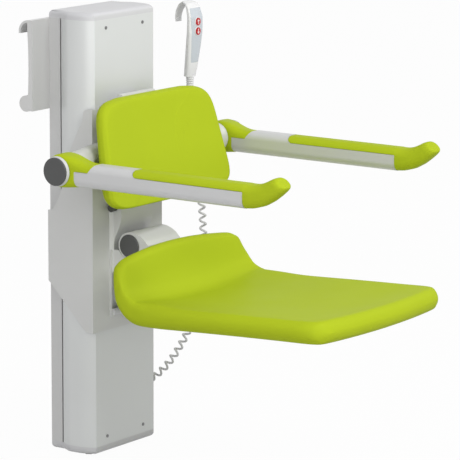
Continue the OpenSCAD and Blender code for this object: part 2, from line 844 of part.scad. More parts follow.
// Steel plate behind the cushion, with four spacers to the mount block
module backrest_plate() color(steel) difference() {
    union() {
        on_backrest(-back_plate_w / 2, -back_plate_h / 2) translate([0, -back_plate_t, 0])
            cube([back_plate_w, back_plate_t, back_plate_h]);
        for (x = [-1, 1], z = [-1, 1])
            bar_d(2 * back_plate_t, neck_d,
                back_face(0, back_z + z * back_screw_z) - back_t / 2 - back_plate_t / 2 - plate_gap,
                x * back_plate_w / 5, back_z + z * back_screw_z);
    }
    mount_block();
    for (x = [-1, 1], z = [-1, 1]) on_backrest(x * back_screw_x, z * back_screw_z)
        bar_d(back_screw_r + slip, -2 * back_plate_t, back_plate_t, 0, 0);
}

module backrest_screws() color(zinc)
    for (x = [-1, 1], z = [-1, 1]) on_backrest(x * back_screw_x, z * back_screw_z) {
        bar_d(back_screw_r, -back_plate_t - fit, shank_l, 0, 0);
        bar_d(2 * back_screw_r, -back_plate_t - 0.8 * back_screw_r, -back_plate_t - slip, 0, 0);
    }

back_ring_share = [[0.40, -0.50], [0.72, -0.50], [0.90, -0.49], [0.97, -0.36], [1.00, -0.08],
    [0.997, 0.22], [0.975, 0.41], [0.93, 0.49], [0.74, 0.51], [0.40, 0.52]];
back_square = 6.4;
back_low = back_z - back_h / 2;

module backrest_cushion() color(lime) difference() {
    n = 44;
    loft([for (s = back_ring_share) [for (i = [0:n - 1]) let (
            a = 360 * (i + 0.5) / n,
            c = cos(a), v = sin(a),
            z = back_z + s[0] * back_h / 2 * sign(v) * pow(abs(v), 2 / back_square),
            widen = 1 - back_taper_share * (z - back_z) / (back_h / 2),
            x = s[0] * back_w / 2 * widen * sign(c) * pow(abs(c), 2 / back_square))
        [x, back_face(x, z) + s[1] * back_t, z]]]);
    for (x = [-1, 1], z = [-1, 1]) on_backrest(x * back_screw_x, z * back_screw_z)
        bar_d(back_screw_r + slip, -cut, shank_l + fit, 0, 0);
}

// Seat: the mid line of its side view runs back along the pan, round a bend and up the rim
bend_r = 49;
rim_gap = 18;
rear_bow = 14;
bend_d = hinge_d + hub_reach + rim_gap + rear_bow + rim_t / 2 + bend_r;
bend_z = 396.6;
bend_angle = 90 + pan_rise - rim_lean;
bend_l = bend_r * bend_angle * PI / 180;
seat_end = bend_l + rim_l;
nose_l = 20;
front_corner = 40;
rim_corner = 46;
edge_r = 24;
pan_dish = 9;
crest_rise = 19;
front_bow = 19;
rim_inset = 5;
rim_lead = 60;
thin_lead = 20;
bow_lead = 130;
dish_lead = 90;
nose_lead = 160;
scoop = 12;
scoop_lead = 110;

function seat_turn(s) = s <= 0 ? 90 + pan_rise
    : s < bend_l ? 90 + pan_rise - s / bend_r * 180 / PI : rim_lean;
function seat_arc(a) = [bend_d - bend_r * cos(a), bend_z - bend_r * sin(a)];
function seat_mid(s) = let (a = seat_turn(s))
    s <= 0 ? seat_arc(a) - s * [cos(pan_rise), sin(pan_rise)]
    : s < bend_l ? seat_arc(a)
    : seat_arc(a) + (s - bend_l) * [-sin(a), cos(a)];
function seat_half(s) = let (front = s + pan_l, back = seat_end - s)
    seat_w / 2 - rim_inset * smooth((s + rim_lead) / (bend_l + rim_lead))
    - (front < front_corner ? front_corner - sqrt(front * (2 * front_corner - front)) : 0)
    - (back < rim_corner ? rim_corner - sqrt(back * (2 * rim_corner - back)) : 0);
function seat_thick(s) = let (front = s + pan_l, back = seat_end - s,
        body = mix(pan_t, rim_t, smooth((s + thin_lead) / (bend_l + thin_lead))))
    body / 2 * (front < nose_l ? sqrt(front * (2 * nose_l - front)) / nose_l : 1)
    * (back < rim_t / 2 ? sqrt(back * (rim_t - back)) / (rim_t / 2) : 1);

function seat_loop(w, h) = let (e = min(edge_r, 0.8 * w)) concat(
    [for (i = [0:3]) let (a = 90 * (2 * i + 1) / 7) [w - e + e * cos(a), h * sin(a)]],
    [for (i = [1:6]) [mix(w - e, e - w, i / 7), h]],
    [for (i = [0:7]) let (a = 90 + 180 * i / 7) [e - w + e * cos(a), h * sin(a)]],
    [for (i = [1:6]) [mix(e - w, w - e, i / 7), -h]],
    [for (i = [0:3]) let (a = 90 * (2 * i - 7) / 7) [w - e + e * cos(a), h * sin(a)]]);

function seat_ring(s) = let (w = seat_half(s), h = seat_thick(s), a = seat_turn(s), c = seat_mid(s))
    [for (p = seat_loop(w, h)) let (
            mid = 1 - pow(p[0] / (seat_w / 2), 2),
            up = p[1] - (p[1] > 0 ? pan_dish * mid * smooth((s + pan_l) / dish_lead)
                * smooth((bend_l - s) / bend_l) * p[1] / max(h, fit)
                - scoop * pow(abs(p[0]) / (seat_w / 2), 3) * smooth((s + scoop_lead) / scoop_lead)
                * smooth((bend_l - s) / bend_l) * p[1] / max(h, fit) : 0),
            shift = front_bow * mid * (1 - smooth((s + pan_l) / nose_lead))
                - rear_bow * mid * smooth((s + bow_lead) / (bend_l + bow_lead)))
        [p[0], c[0] + up * cos(a) + shift,
            c[1] + up * sin(a) + crest_rise * mid * smooth(s / seat_end)]];

module seat_cushion() color(lime) {
    nose = [for (t = [6, 26, 46, 68, 90]) -pan_l + nose_l * (1 - cos(t))];
    pan = [for (t = [0.09, 0.16, 0.28, 0.46, 0.64, 0.80, 0.92]) -pan_l * (1 - t)];
    bend = [for (i = [0:5]) bend_l * i / 5];
    rim = [for (t = [90, 64, 42, 22, 6]) seat_end - rim_t / 2 * (1 - cos(t))];
    difference() {
        loft([for (s = concat(nose, pan, bend, rim)) seat_ring(s)]);
        seat_screw_places() translate([0, 0, -shank_l])
            cylinder(r = seat_screw_r + slip, h = 2 * shank_l, $fn = small_fn);
    }
}

// Hinge hub: the hinge's round end flows into a wider arc over the seat's bracket
hub_step = 1;
hub_top_z = hinge_z + hub_r + hub_step;

module hub_outline() difference() {
    union() {
        translate([hinge_d, hinge_z]) circle(r = hub_r, $fn = round_fn);
        intersection() {
            translate([hinge_d, hub_top_z - hub_top_r]) circle(r = hub_top_r, $fn = round_fn);
            translate([hinge_d, hinge_z - hub_top_r]) square([hub_reach, 2 * hub_top_r]);
        }
    }
    translate([hinge_d, hinge_z]) circle(r = bush_out_r, $fn = round_fn);
}

bush_out_r = 12.5;
bush_end = 1;
bush_play = 1.5;
bracket_in = 24;
web_back = 8;
bracket_plate = 6;
bracket_reach = 250;
bracket_w = 180;

module seat_hub() color(shell_white) difference() {
    along_x(-hub_half, hub_half) hub_outline();
    for (x = [-lug_out - fit, lug_in - fit])
        along_x(x, x + lug_out - lug_in + 2 * fit) slot_outline();
    along_x(-bracket_in - bracket_plate - slip, -bracket_in + slip) web_slot();
    along_x(bracket_in - slip, bracket_in + bracket_plate + slip) web_slot();
}

// Room in the hub for the lugs over the seat's whole fold
module slot_outline() {
    reach = 3 * hub_r;
    translate([hinge_d, hinge_z]) circle(r = 1.8 * axle_r + 2 * fit, $fn = round_fn);
    polygon(concat([[hinge_d, hinge_z]],
        [for (i = [0:10]) let (a = 108 + 17.2 * i)
            [hinge_d + reach * cos(a), hinge_z + reach * sin(a)]]));
}

module web_slot() {
    translate([hinge_d - hub_r, hinge_z - 2 * hub_top_r])
        square([hub_r + hub_reach - web_back, 2 * hub_top_r + axle_r]);
}

seat_cap_r = 24.6;
seat_cap_t = 3;
module seat_cap(side) translate([side * hub_half, hinge_d, hinge_z]) rotate([0, side * 90, 0]) {
    cylinder(r = seat_cap_r, h = 0.6 * seat_cap_t, $fn = round_fn);
    translate([0, 0, 0.6 * seat_cap_t])
        cylinder(r1 = seat_cap_r, r2 = seat_cap_r - 0.4 * seat_cap_t, h = 0.4 * seat_cap_t, $fn = round_fn);
}
module seat_cap_left() color(cap_grey) seat_cap(-1);
module seat_cap_right() color(cap_grey) seat_cap(1);

module seat_bushes() color(dark_grey) for (x = [-hub_half + bush_end, lug_out + bush_play])
    difference() {
        bar_x(bush_out_r - slip, x, x + hub_half - lug_out - bush_end - bush_play, hinge_d, hinge_z);
        bar_x(axle_r + slip, x - cut, x + hub_half, hinge_d, hinge_z);
    }

pan_clear = 1.3;
function pan_low(d) = bend_z - bend_r - pan_t / 2 - pan_clear + (d - bend_d) * tan(pan_rise);
rail_depth = 16;
seat_plate_t = 4;
seat_screw_r = 3;
foot_d = stop_d + stop_r + fit;
cheek_back = 4;
plate_lap = 10;
plate_back = bend_d - plate_lap;
seat_screw_d = 40;
seat_screw_in = 20;
head_gap = 0.4;

// Welded bracket: two cheeks from the hub down to the stop and forward, under a carrying plate
module seat_bracket() color(steel) difference() {
    back = hinge_d + hub_reach - web_back;
    front = bend_d + bracket_reach;
    union() {
        for (x = [-bracket_in - bracket_plate, bracket_in]) along_x(x, x + bracket_plate)
            polygon([[hinge_d - 2 * axle_r, hinge_z + 0.8 * axle_r],
                [hinge_d - 2 * axle_r, hinge_z - 1.4 * axle_r],
                [hinge_d - cheek_back, hinge_z - 0.9 * hub_r], [hinge_d, hinge_z - hub_r],
                [hinge_d, pocket_high - pocket_h / 3], [foot_d + cheek_back, stop_z + 0.4 * pocket_h],
                [foot_d, stop_z + 1.4 * stop_r], [foot_d, stop_z - stop_r],
                [hinge_d, pan_low(hinge_d) - rail_depth],
                [bend_d, pan_low(bend_d) - rail_depth - seat_plate_t],
                [front, pan_low(front) - 2.5 * seat_plate_t],
                [front, pan_low(front) - seat_plate_t / 2],
                [plate_back, pan_low(plate_back) - seat_plate_t / 2],
                [back, pan_low(back) + 2 * axle_r], [back, hinge_z - 2 * axle_r],
                [hinge_d + 1.6 * axle_r, hinge_z + 0.8 * axle_r]]);
        along_x(-bracket_w / 2, bracket_w / 2) polygon([
            [plate_back, pan_low(plate_back) - seat_plate_t],
            [front, pan_low(front) - seat_plate_t], [front, pan_low(front)],
            [plate_back, pan_low(plate_back)]]);
    }
    bar_x(axle_r + slip, -hub_half, hub_half, hinge_d, hinge_z);
    seat_screw_places() translate([0, 0, -shank_l])
        cylinder(r = seat_screw_r + slip, h = 2 * shank_l, $fn = small_fn);
}

module seat_screw_places()
    for (x = [-1, 1], d = [bend_d + seat_screw_d, bend_d + bracket_reach - seat_screw_d])
        translate([x * (bracket_w / 2 - seat_screw_in), d, pan_low(d)]) children();

module seat_screws() color(zinc) seat_screw_places() {
    translate([0, 0, -seat_plate_t - head_gap])
        cylinder(r = seat_screw_r, h = shank_l, $fn = small_fn);
    translate([0, 0, -seat_plate_t - head_gap - seat_screw_r])
        cylinder(r = 2 * seat_screw_r, h = seat_screw_r, $fn = small_fn);
}

// Arms: hub cover, tube, pad and grip
cover_edge = 12;
tongue_rise = 8;
tongue_z = arm_mid_z + tongue_rise;
tongue_front = 250;
tongue_tip = 260;
cover_seam = 216;
tongue_tip_t = 1.5;
pad_rise = 10;
pad_low = arm_mid_z + pad_rise;
pad_start = 360;
pad_round = 12;
arm_round = 17;
crest_out = 9;
hub_run = 60;
cheek_run = 50;

function arm_top(d) = let (flat = arm_mid_z + arm_t / 2,
        round = pivot_z + sqrt(max(0, pow(arm_hub_r, 2) - pow(d - pivot_d, 2))),
        leave = pivot_d + crest_out)
    d < leave ? round : mix(pivot_z + sqrt(pow(arm_hub_r, 2) - pow(crest_out, 2)), flat,
        smooth((d - leave) / (tongue_front - leave)));
function arm_low(d) = let (flat = arm_mid_z - arm_t / 2,
        round = pivot_z - sqrt(max(0, pow(arm_hub_r, 2) - pow(d - pivot_d, 2))))
    d < pivot_d ? round : mix(pivot_z - arm_hub_r, flat, smooth((d - pivot_d) / hub_run));

function corner_ring(w, h, r, n) = concat(
    [for (i = [0:n]) let (a = 90 * i / n) [w / 2 - r + r * cos(a), h / 2 - r + r * sin(a)]],
    [for (i = [0:n]) let (a = 90 + 90 * i / n) [r - w / 2 + r * cos(a), h / 2 - r + r * sin(a)]],
    [for (i = [0:n]) let (a = 180 + 90 * i / n) [r - w / 2 + r * cos(a), r - h / 2 + r * sin(a)]],
    [for (i = [0:n]) let (a = 270 + 90 * i / n) [w / 2 - r + r * cos(a), r - h / 2 + r * sin(a)]]);

// Slanting end of the tongue, in side view: all that lies in front of it
module tongue_end(gap) polygon([[tongue_front + gap, tongue_z], [tongue_front + gap, tongue_z - cut],
    [tongue_tip + arm_t, tongue_z - cut], [tongue_tip + arm_t, arm_mid_z + arm_t],
    [tongue_tip + gap + arm_t / 2, arm_mid_z + arm_t],
    [tongue_tip + gap, arm_mid_z + arm_t / 2 - tongue_tip_t]]);

module arm_cover(side) difference() {
    depths = concat([for (t = [12, 30, 50, 70, 90]) pivot_d - arm_hub_r * cos(t)],
        [for (t = [0.14, 0.28, 0.42, 0.56, 0.70, 0.84, 1]) mix(pivot_d, tongue_tip, t)]);
    loft([for (d = depths) let (
            top = arm_top(d), low = arm_low(d), h = top - low,
            w = mix(arm_w + hub_cheek, arm_w, smooth((d - pivot_d) / cheek_run)),
            r = min(mix(cover_edge, arm_round, smooth((d - pivot_d) / cheek_run)), 0.49 * h))
        [for (p = corner_ring(w, h, r, 5))
            [side * (arm_x + (w - arm_w) / 2) + p[0], d, (top + low) / 2 + p[1]]]]);
    block([side * arm_x - arm_w, cover_seam, arm_mid_z - arm_t],
        [side * arm_x + arm_w, tongue_tip + cut, tongue_z]);
    along_x(side * arm_x - arm_w, side * arm_x + arm_w) tongue_end(0);
    bar_x(arm_axle_r + slip, -2 * arm_x, 2 * arm_x, pivot_d, pivot_z);
}

// Outline of the pad in side view, with a round rear end
module pad_outline(grow) {
    translate([pad_start + pad_round, pad_low + pad_round])
        circle(r = pad_round + grow, $fn = small_fn);
    translate([pad_start + pad_round, pad_low - grow])
        square([grip_start - pad_start - pad_round + cut, arm_t]);
    translate([pad_start - grow, pad_low + pad_round])
        square([grip_start - pad_start, arm_t]);
}

module arm_tube(side) difference() {
    translate([side * arm_x, 0, arm_mid_z]) along_d(cover_seam + slip, grip_start)
        round_rect(arm_w, arm_t, arm_round);
    difference() {
        block([side * arm_x - arm_w, 0, tongue_z], [side * arm_x + arm_w, tongue_tip + arm_t / 2, column_h]);
        along_x(side * arm_x - arm_w, side * arm_x + arm_w) tongue_end(0);
    }
    along_x(side * arm_x - arm_w, side * arm_x + arm_w) pad_outline(slip);
}

grip_share = [[0, 0, 1], [0.20, 0.02, 1], [0.40, 0.13, 0.98], [0.58, 0.33, 0.94],
    [0.75, 0.58, 0.91], [0.89, 0.82, 0.88], [0.97, 0.95, 0.80], [1.00, 1.00, 0.66]];
grip_l = 82;
grip_rise = 34;

module arm_pad(side) {
    intersection() {
        translate([side * arm_x, 0, arm_mid_z]) along_d(pad_start - cut, grip_start)
            round_rect(arm_w, arm_t, arm_round);
        along_x(side * arm_x - arm_w, side * arm_x + arm_w) pad_outline(0);
    }
    loft([for (i = [0:len(grip_share) - 1]) let (
            s = grip_share[i],
            lean = 50 * smooth(1.15 * s[0] - 0.1),
            w = arm_w * s[2], h = mix(arm_t, 0.8 * arm_t, s[0]) * s[2],
            r = min(0.36 * w, 0.48 * h))
        [for (p = corner_ring(w, h, r, 5))
            [side * arm_x + p[0], grip_start + grip_l * s[0] - p[1] * sin(lean),
                arm_mid_z + grip_rise * s[1] + p[1] * cos(lean)]]]);
}

arm_face = arm_x + arm_w / 2 + hub_cheek;
ring_t = 6.5;
ring_r = 31;
disc_r = 29;
disc_t = 3.2;

module arm_ring(side) color(shell_white) translate([side * arm_face, pivot_d, pivot_z])
    rotate([0, side * 90, 0]) cylinder(r1 = ring_r, r2 = ring_r - ring_t / 4, h = ring_t, $fn = round_fn);

module arm_cap(side) color(cap_grey)
    translate([side * (arm_face + ring_t), pivot_d, pivot_z]) rotate([0, side * 90, 0]) {
        cylinder(r = disc_r, h = 0.6 * disc_t, $fn = round_fn);
        translate([0, 0, 0.6 * disc_t])
            cylinder(r1 = disc_r, r2 = disc_r - 0.3 * disc_t, h = 0.4 * disc_t, $fn = round_fn);
    }

module arm_tube_left() color(metal_white) arm_tube(-1);
module arm_cover_left() color(lime) arm_cover(-1);
module arm_pad_left() color(lime) arm_pad(-1);
module arm_cap_left() arm_cap(-1);
module arm_ring_left() arm_ring(-1);
module arm_tube_right() color(metal_white) arm_tube(1);
module arm_cover_right() color(lime) arm_cover(1);
module arm_pad_right() color(lime) arm_pad(1);
module arm_cap_right() arm_cap(1);
module arm_ring_right() arm_ring(1);

// Hand control: stations from its foot over its top to the tip of its hook, as shares of
// its sway, height, width and thickness
handset_share = [[0.00, 0.000, 0.72, 0.92], [0.24, 0.12, 0.81, 1.00], [0.60, 0.33, 0.97, 1.00],
    [0.98, 0.60, 1.10, 0.94], [1.00, 0.80, 1.08, 0.84], [0.66, 0.90, 1.00, 0.72],
    [0.30, 0.955, 0.92, 0.58], [-0.50, 0.985, 0.78, 0.44], [-1.36, 0.945, 0.64, 0.38],
    [-1.98, 0.860, 0.55, 0.34], [-2.22, 0.775, 0.50, 0.30], [-2.14, 0.715, 0.45, 0.26]];
split_share = 0.12;
split_gap_share = 0.02;

function hand_mid(s) = [handset_foot_d + s[0] * handset_sway, handset_foot_z + s[1] * handset_l];
function hand_turn(i) = let (n = len(handset_share),
        a = hand_mid(handset_share[max(0, i - 1)]),
        b = hand_mid(handset_share[min(n - 1, i + 1)]))
    atan2(b[1] - a[1], b[0] - a[0]);
function bulge(v) = sign(v) * pow(abs(v), 0.7);

// Rings of the body between two shares of its thickness, 1 being the front skin
function hand_rings(low, high) = [for (i = [0:len(handset_share) - 1]) let (
        s = handset_share[i], c = hand_mid(s), t = hand_turn(i),
        w = handset_w * s[2] / 2, h = handset_d * s[3] / 2)
    [for (k = [0:15]) let (f = h * min(high, max(low, -bulge(sin(22.5 * k)))))
        [handset_x + w * bulge(cos(22.5 * k)), c[0] + f * sin(t), c[1] - f * cos(t)]]];

// Place on the front skin of the body, by height share and side share
function hand_at(z, k) = lookup(z, [for (i = [0:5]) [handset_share[i][1], handset_share[i][k]]]);
function skin(z, x, out) = let (w = handset_w * hand_at(z, 2) / 2,
        h = handset_d * hand_at(z, 3) / 2)
    [handset_x + w * x, handset_foot_d + hand_at(z, 0) * handset_sway
        + h * pow(1 - pow(abs(x), 2.6), 0.42) + out, handset_foot_z + z * handset_l];

panel_low_share = 0.19;
panel_high_share = 0.91;
panel_t = 1.2;
panel_side_share = 0.86;
panel_foot_share = 0.66;

module panel_body(grow, low, out) loft([for (i = [0:6]) let (
        z = mix(panel_low_share - grow / handset_l, panel_high_share + grow / handset_l, i / 6),
        end = (i == 0 || i == 6) ? 0.94 : 1,
        side = (mix(panel_foot_share, panel_side_share, smooth(i / 6)) + grow / handset_w) * end)
    concat([for (j = [0:6]) skin(z, side * (j / 3 - 1), low)],
        [for (j = [6:-1:0]) skin(z, side * (j / 3 - 1), out)])]);

board_rise = 56;
board_l = 80;
board_low = handset_foot_z + board_rise;
board_high = board_low + board_l;
board_half = 13;
board_d = 58.5;
board_t = 1.6;
board_room = 1.5;
button_rise = 111;
button_mid = handset_foot_z + button_rise;
button_face = handset_foot_d + handset_sway + handset_d / 2;
button_flange = 1.2;
button_lip = 1;
button_low = board_d + board_t + button_travel + fit;

module board_pocket() block([handset_x - board_half - board_room, board_d - board_room, board_low - board_room],
    [handset_x + board_half + board_room, button_low + button_flange + fit, board_high + board_room]);

module handset_front() color(shell_white) difference() {
    loft(hand_rings(split_share, 1));
    board_pocket();
    panel_body(fit / 2, -panel_t - slip, 2 * panel_t);
    for (s = [-1, 1])
        bar_d(button_dia / 2 + fit, board_d, button_face + panel_t, handset_x,
            button_mid + s * button_gap / 2);
    relief_room();
}

module handset_back() color(shell_white) difference() {
    loft(hand_rings(-1, split_share - split_gap_share));
    board_pocket();
    relief_room();
}

module handset_panel() color(panel_blue) difference() {
    panel_body(0, -panel_t, fit);
    for (s = [-1, 1])
        bar_d(button_dia / 2 + fit, board_d, button_face + panel_t, handset_x,
            button_mid + s * button_gap / 2);
}

module handset_board() color(dark_grey) {
    block([handset_x - board_half, board_d, board_low], [handset_x + board_half, board_d + board_t, board_high]);
    block([handset_x - board_half / 2, board_d - board_room + fit, board_low + board_half],
        [handset_x + board_half / 2, board_d, board_low + 3 * board_half]);
}

module button(s) color(button_red) {
    z = button_mid + s * button_gap / 2;
    bar_d(button_dia / 2, button_low, button_face + 3 * fit, handset_x, z);
    bar_d(button_dia / 2 + button_lip, button_low, button_low + button_flange, handset_x, z);
}
module button_up() button(1);
module button_down() button(-1);

relief_r = 8.5;
relief_l = 26;
relief_neck = 7;
relief_seat = 1.6;
relief_out = 1;
relief_d = handset_foot_d + relief_out;

module relief_room() translate([handset_x, relief_d, handset_foot_z - relief_neck])
    cylinder(r = relief_neck + slip, h = 2 * relief_neck + slip, $fn = small_fn);

// Ribbed strain relief under the hand control
module handset_relief() color(cord_grey) translate([handset_x, relief_d, handset_foot_z])
    difference() {
        union() {
            translate([0, 0, -relief_seat])
                cylinder(r = relief_neck, h = relief_neck + relief_seat, $fn = small_fn);
            for (i = [0:4]) translate([0, 0, -relief_seat - relief_l * (i + 1) / 5]) {
                cylinder(r = relief_r * (0.62 - 0.024 * i), h = relief_l / 5, $fn = small_fn);
                translate([0, 0, relief_l / 11])
                    cylinder(r = relief_r * (1 - 0.06 * i), h = relief_l / 11, $fn = small_fn);
            }
        }
        translate([0, 0, -relief_l - relief_seat - cut])
            cylinder(r = wire_dia / 2 + fit, h = 2 * relief_l, $fn = small_fn);
    }

// Curly cord: a spline through the route's points, wound with the curls
function spline(p0, p1, p2, p3, t) = 0.5 * (2 * p1 + (p2 - p0) * t
    + (2 * p0 - 5 * p1 + 4 * p2 - p3) * t * t + (3 * p1 - p0 - 3 * p2 + p3) * t * t * t);
route_n = len(CORD_ROUTE);
function route(t) = let (i = min(route_n - 2, floor(t)), f = t - i)
    spline(CORD_ROUTE[max(0, i - 1)], CORD_ROUTE[i], CORD_ROUTE[i + 1],
        CORD_ROUTE[min(route_n - 1, i + 2)], f);
route_fine = 12;
route_points = [for (i = [0:route_fine * (route_n - 1)]) route(i / route_fine)];
route_far = [for (i = 0, d = 0; i < len(route_points);
    d = d + (i + 1 < len(route_points) ? norm(route_points[i + 1] - route_points[i]) : 0), i = i + 1) d];
route_l = route_far[len(route_far) - 1];
route_table = [for (i = [0:len(route_far) - 1]) [route_far[i], i / route_fine]];
function along(far) = route(lookup(far, route_table));
plain_end = 16;
turn_rings = 8;
cord_n = curls * turn_rings;
curl_r = (curl_dia - wire_dia) / 2;

function unit(v) = v / norm(v);
function cord_centre(i) = let (
        far = mix(plain_end, route_l - plain_end, min(1, max(0, i / cord_n))),
        here = along(far), ahead = unit(along(far + 1) - along(far - 1)),
        across = unit(cross(ahead, [0, 1, 0])), up = cross(ahead, across),
        r = curl_r * smooth(min(i, cord_n - i) / turn_rings), a = 360 * i / turn_rings)
    here + r * (cos(a) * across + sin(a) * up);
cord_in = 4;
cord_foot = [handset_x, relief_d, handset_foot_z - cord_in];
socket_in = 2;
cord_end = [profile_half + socket_in, gland_d, gland_z];
cord_line = concat([cord_foot, CORD_ROUTE[0]], [for (i = [0:cord_n]) cord_centre(i)],
    [CORD_ROUTE[route_n - 1], cord_end]);

module handset_cord() color(cord_grey) {
    n = len(cord_line);
    loft([for (i = [0:n - 1]) let (
            c = cord_line[i],
            t = unit(cord_line[min(n - 1, i + 1)] - cord_line[max(0, i - 1)]),
            a = 360 * (min(cord_n + 2, max(2, i)) - 2) / turn_rings,
            side = unit(cross(t, [0, 1, 0])), up = cross(t, side),
            u = side, v = up)
        [for (k = [0:5]) c + wire_dia / 2 * (cos(60 * k) * u + sin(60 * k) * v)]]);
}

placed() column_profile();
placed() front_cover();
placed() top_block();
placed() bottom_block();
placed() top_cap();
placed() bottom_cap();
placed() cover_screws();
placed() wall_bracket();
placed() bracket_rod();
placed() bracket_screws();
placed() guide_rods();
placed() actuator_tube();
placed() actuator_motor();
placed() actuator_foot();
placed() foot_pin();
placed() control_box();
placed() handset_gland();
placed() mains_gland();
placed() carriage_cover();
placed() carriage_slide();
placed() glide_bushes();
placed() actuator_rod();
placed() rod_pin();
placed() mount_block();
placed() block_screws();
placed() side_plugs();
placed() seat_stop();
placed() seat_axle();
placed() carrier_left();
placed() carrier_right();
placed() arm_axle_left();
placed() arm_axle_right();
placed() backrest_plate();
placed() backrest_cushion();
placed() backrest_screws();
placed() seat_bracket();
placed() seat_hub();
placed() seat_cap_left();
placed() seat_cap_right();
placed() seat_bushes();
placed() seat_cushion();
placed() seat_screws();
placed() arm_tube_left();
placed() arm_cover_left();
placed() arm_pad_left();
placed() arm_cap_left();
placed() arm_ring_left();
placed() arm_tube_right();
placed() arm_cover_right();
placed() arm_pad_right();
placed() arm_cap_right();
placed() arm_ring_right();
placed() handset_front();
placed() handset_back();
placed() handset_panel();
placed() handset_board();
placed() handset_relief();
placed() handset_cord();
placed() button_up();
placed() button_down();
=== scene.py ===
# Looks of the wall-hung shower seat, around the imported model
import json
import math

import bmesh
import bpy
from mathutils import Matrix, Vector
from mathutils.kdtree import KDTree


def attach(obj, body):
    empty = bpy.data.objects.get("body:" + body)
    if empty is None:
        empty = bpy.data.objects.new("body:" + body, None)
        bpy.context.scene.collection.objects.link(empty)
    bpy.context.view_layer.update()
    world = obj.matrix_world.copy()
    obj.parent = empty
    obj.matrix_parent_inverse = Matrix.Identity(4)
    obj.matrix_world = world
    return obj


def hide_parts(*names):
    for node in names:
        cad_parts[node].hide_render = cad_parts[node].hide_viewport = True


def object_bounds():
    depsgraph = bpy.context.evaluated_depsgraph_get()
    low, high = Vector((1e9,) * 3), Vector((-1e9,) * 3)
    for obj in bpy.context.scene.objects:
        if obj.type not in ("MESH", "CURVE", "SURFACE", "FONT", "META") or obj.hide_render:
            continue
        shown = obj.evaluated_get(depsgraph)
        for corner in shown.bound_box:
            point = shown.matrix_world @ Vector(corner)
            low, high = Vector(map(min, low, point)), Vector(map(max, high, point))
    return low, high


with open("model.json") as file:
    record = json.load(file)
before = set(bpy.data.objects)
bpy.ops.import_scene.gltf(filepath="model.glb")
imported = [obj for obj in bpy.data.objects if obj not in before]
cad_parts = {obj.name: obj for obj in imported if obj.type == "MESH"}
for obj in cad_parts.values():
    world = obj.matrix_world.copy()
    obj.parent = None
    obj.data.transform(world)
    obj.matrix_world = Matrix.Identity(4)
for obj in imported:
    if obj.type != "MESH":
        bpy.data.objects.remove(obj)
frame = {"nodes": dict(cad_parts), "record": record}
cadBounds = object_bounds()
nodes = frame["nodes"]
mm = 0.001  # in metres
sameSpot = 0.01 * mm  # points closer than this are merged


# Places: the source's side, depth and height in mm become the frame's metres
railLine = {"depth": -21.0, "height": 917.0}


def place(side, depth, height):
    return Vector((side, railLine["depth"] - depth, height - railLine["height"])) * mm


def takeOnly(obj):
    if bpy.context.mode != "OBJECT":
        bpy.ops.object.mode_set(mode="OBJECT")
    bpy.ops.object.select_all(action="DESELECT")
    obj.select_set(True)
    bpy.context.view_layer.objects.active = obj


def editAll(obj):
    takeOnly(obj)
    bpy.ops.object.mode_set(mode="EDIT")
    bpy.ops.mesh.select_all(action="SELECT")


def leaveEdit():
    bpy.ops.object.mode_set(mode="OBJECT")


def modify(obj, kind, **settings):
    takeOnly(obj)
    modifier = obj.modifiers.new(kind.lower(), kind)
    for key, value in settings.items():
        setattr(modifier, key, value)
    bpy.ops.object.modifier_apply(modifier=modifier.name)


def settle(obj):
    takeOnly(obj)
    bpy.ops.object.transform_apply(location=True, rotation=True, scale=True)


# Camera: the photograph's own viewpoint, with its angles in degrees
photoView = {
    "place": (-5.315, -4.184, 0.816),
    "heading": 54.63,  # to the right of +Y
    "pitch": 10.71,  # downwards
    "roll": 0.19,
    "focal": 3211.0,  # in pixels of the photograph
    "side": 460.0,  # the photograph's width, in pixels
    "sensor": 36.0,
    "farthest": 100.0,
}


def makeCamera(v):
    data = bpy.data.cameras.new("photoCamera")
    data.sensor_width = v["sensor"]
    data.lens = v["focal"] / v["side"] * v["sensor"]
    data.clip_end = v["farthest"]
    camera = bpy.data.objects.new("photoCamera", data)
    bpy.context.scene.collection.objects.link(camera)
    turn = (Matrix.Rotation(math.radians(-v["heading"]), 4, "Z")
            @ Matrix.Rotation(math.radians(90 - v["pitch"]), 4, "X")
            @ Matrix.Rotation(math.radians(v["roll"]), 4, "Z"))
    camera.matrix_world = Matrix.Translation(v["place"]) @ turn
    bpy.context.scene.camera = camera


makeCamera(photoView)
print("camera placed")


# Shader groups that every finish uses, and their fixed settings
grainLook = {"fineDetail": 3, "broadScale": 9, "broadDetail": 2}
toneLook = {"detail": 4, "low": -0.5, "high": 0.5}


def newGroup(name, inputs, outputs):
    group = bpy.data.node_groups.new(name, "ShaderNodeTree")
    for label, kind, value in inputs:
        socket = group.interface.new_socket(label, in_out="INPUT", socket_type=kind)
        socket.default_value = value
    for label, kind in outputs:
        group.interface.new_socket(label, in_out="OUTPUT", socket_type=kind)
    return group, group.nodes.new("NodeGroupInput"), group.nodes.new("NodeGroupOutput")


def addNode(tree, kind, **settings):
    node = tree.nodes.new(kind)
    for key, value in settings.items():
        setattr(node, key, value)
    return node


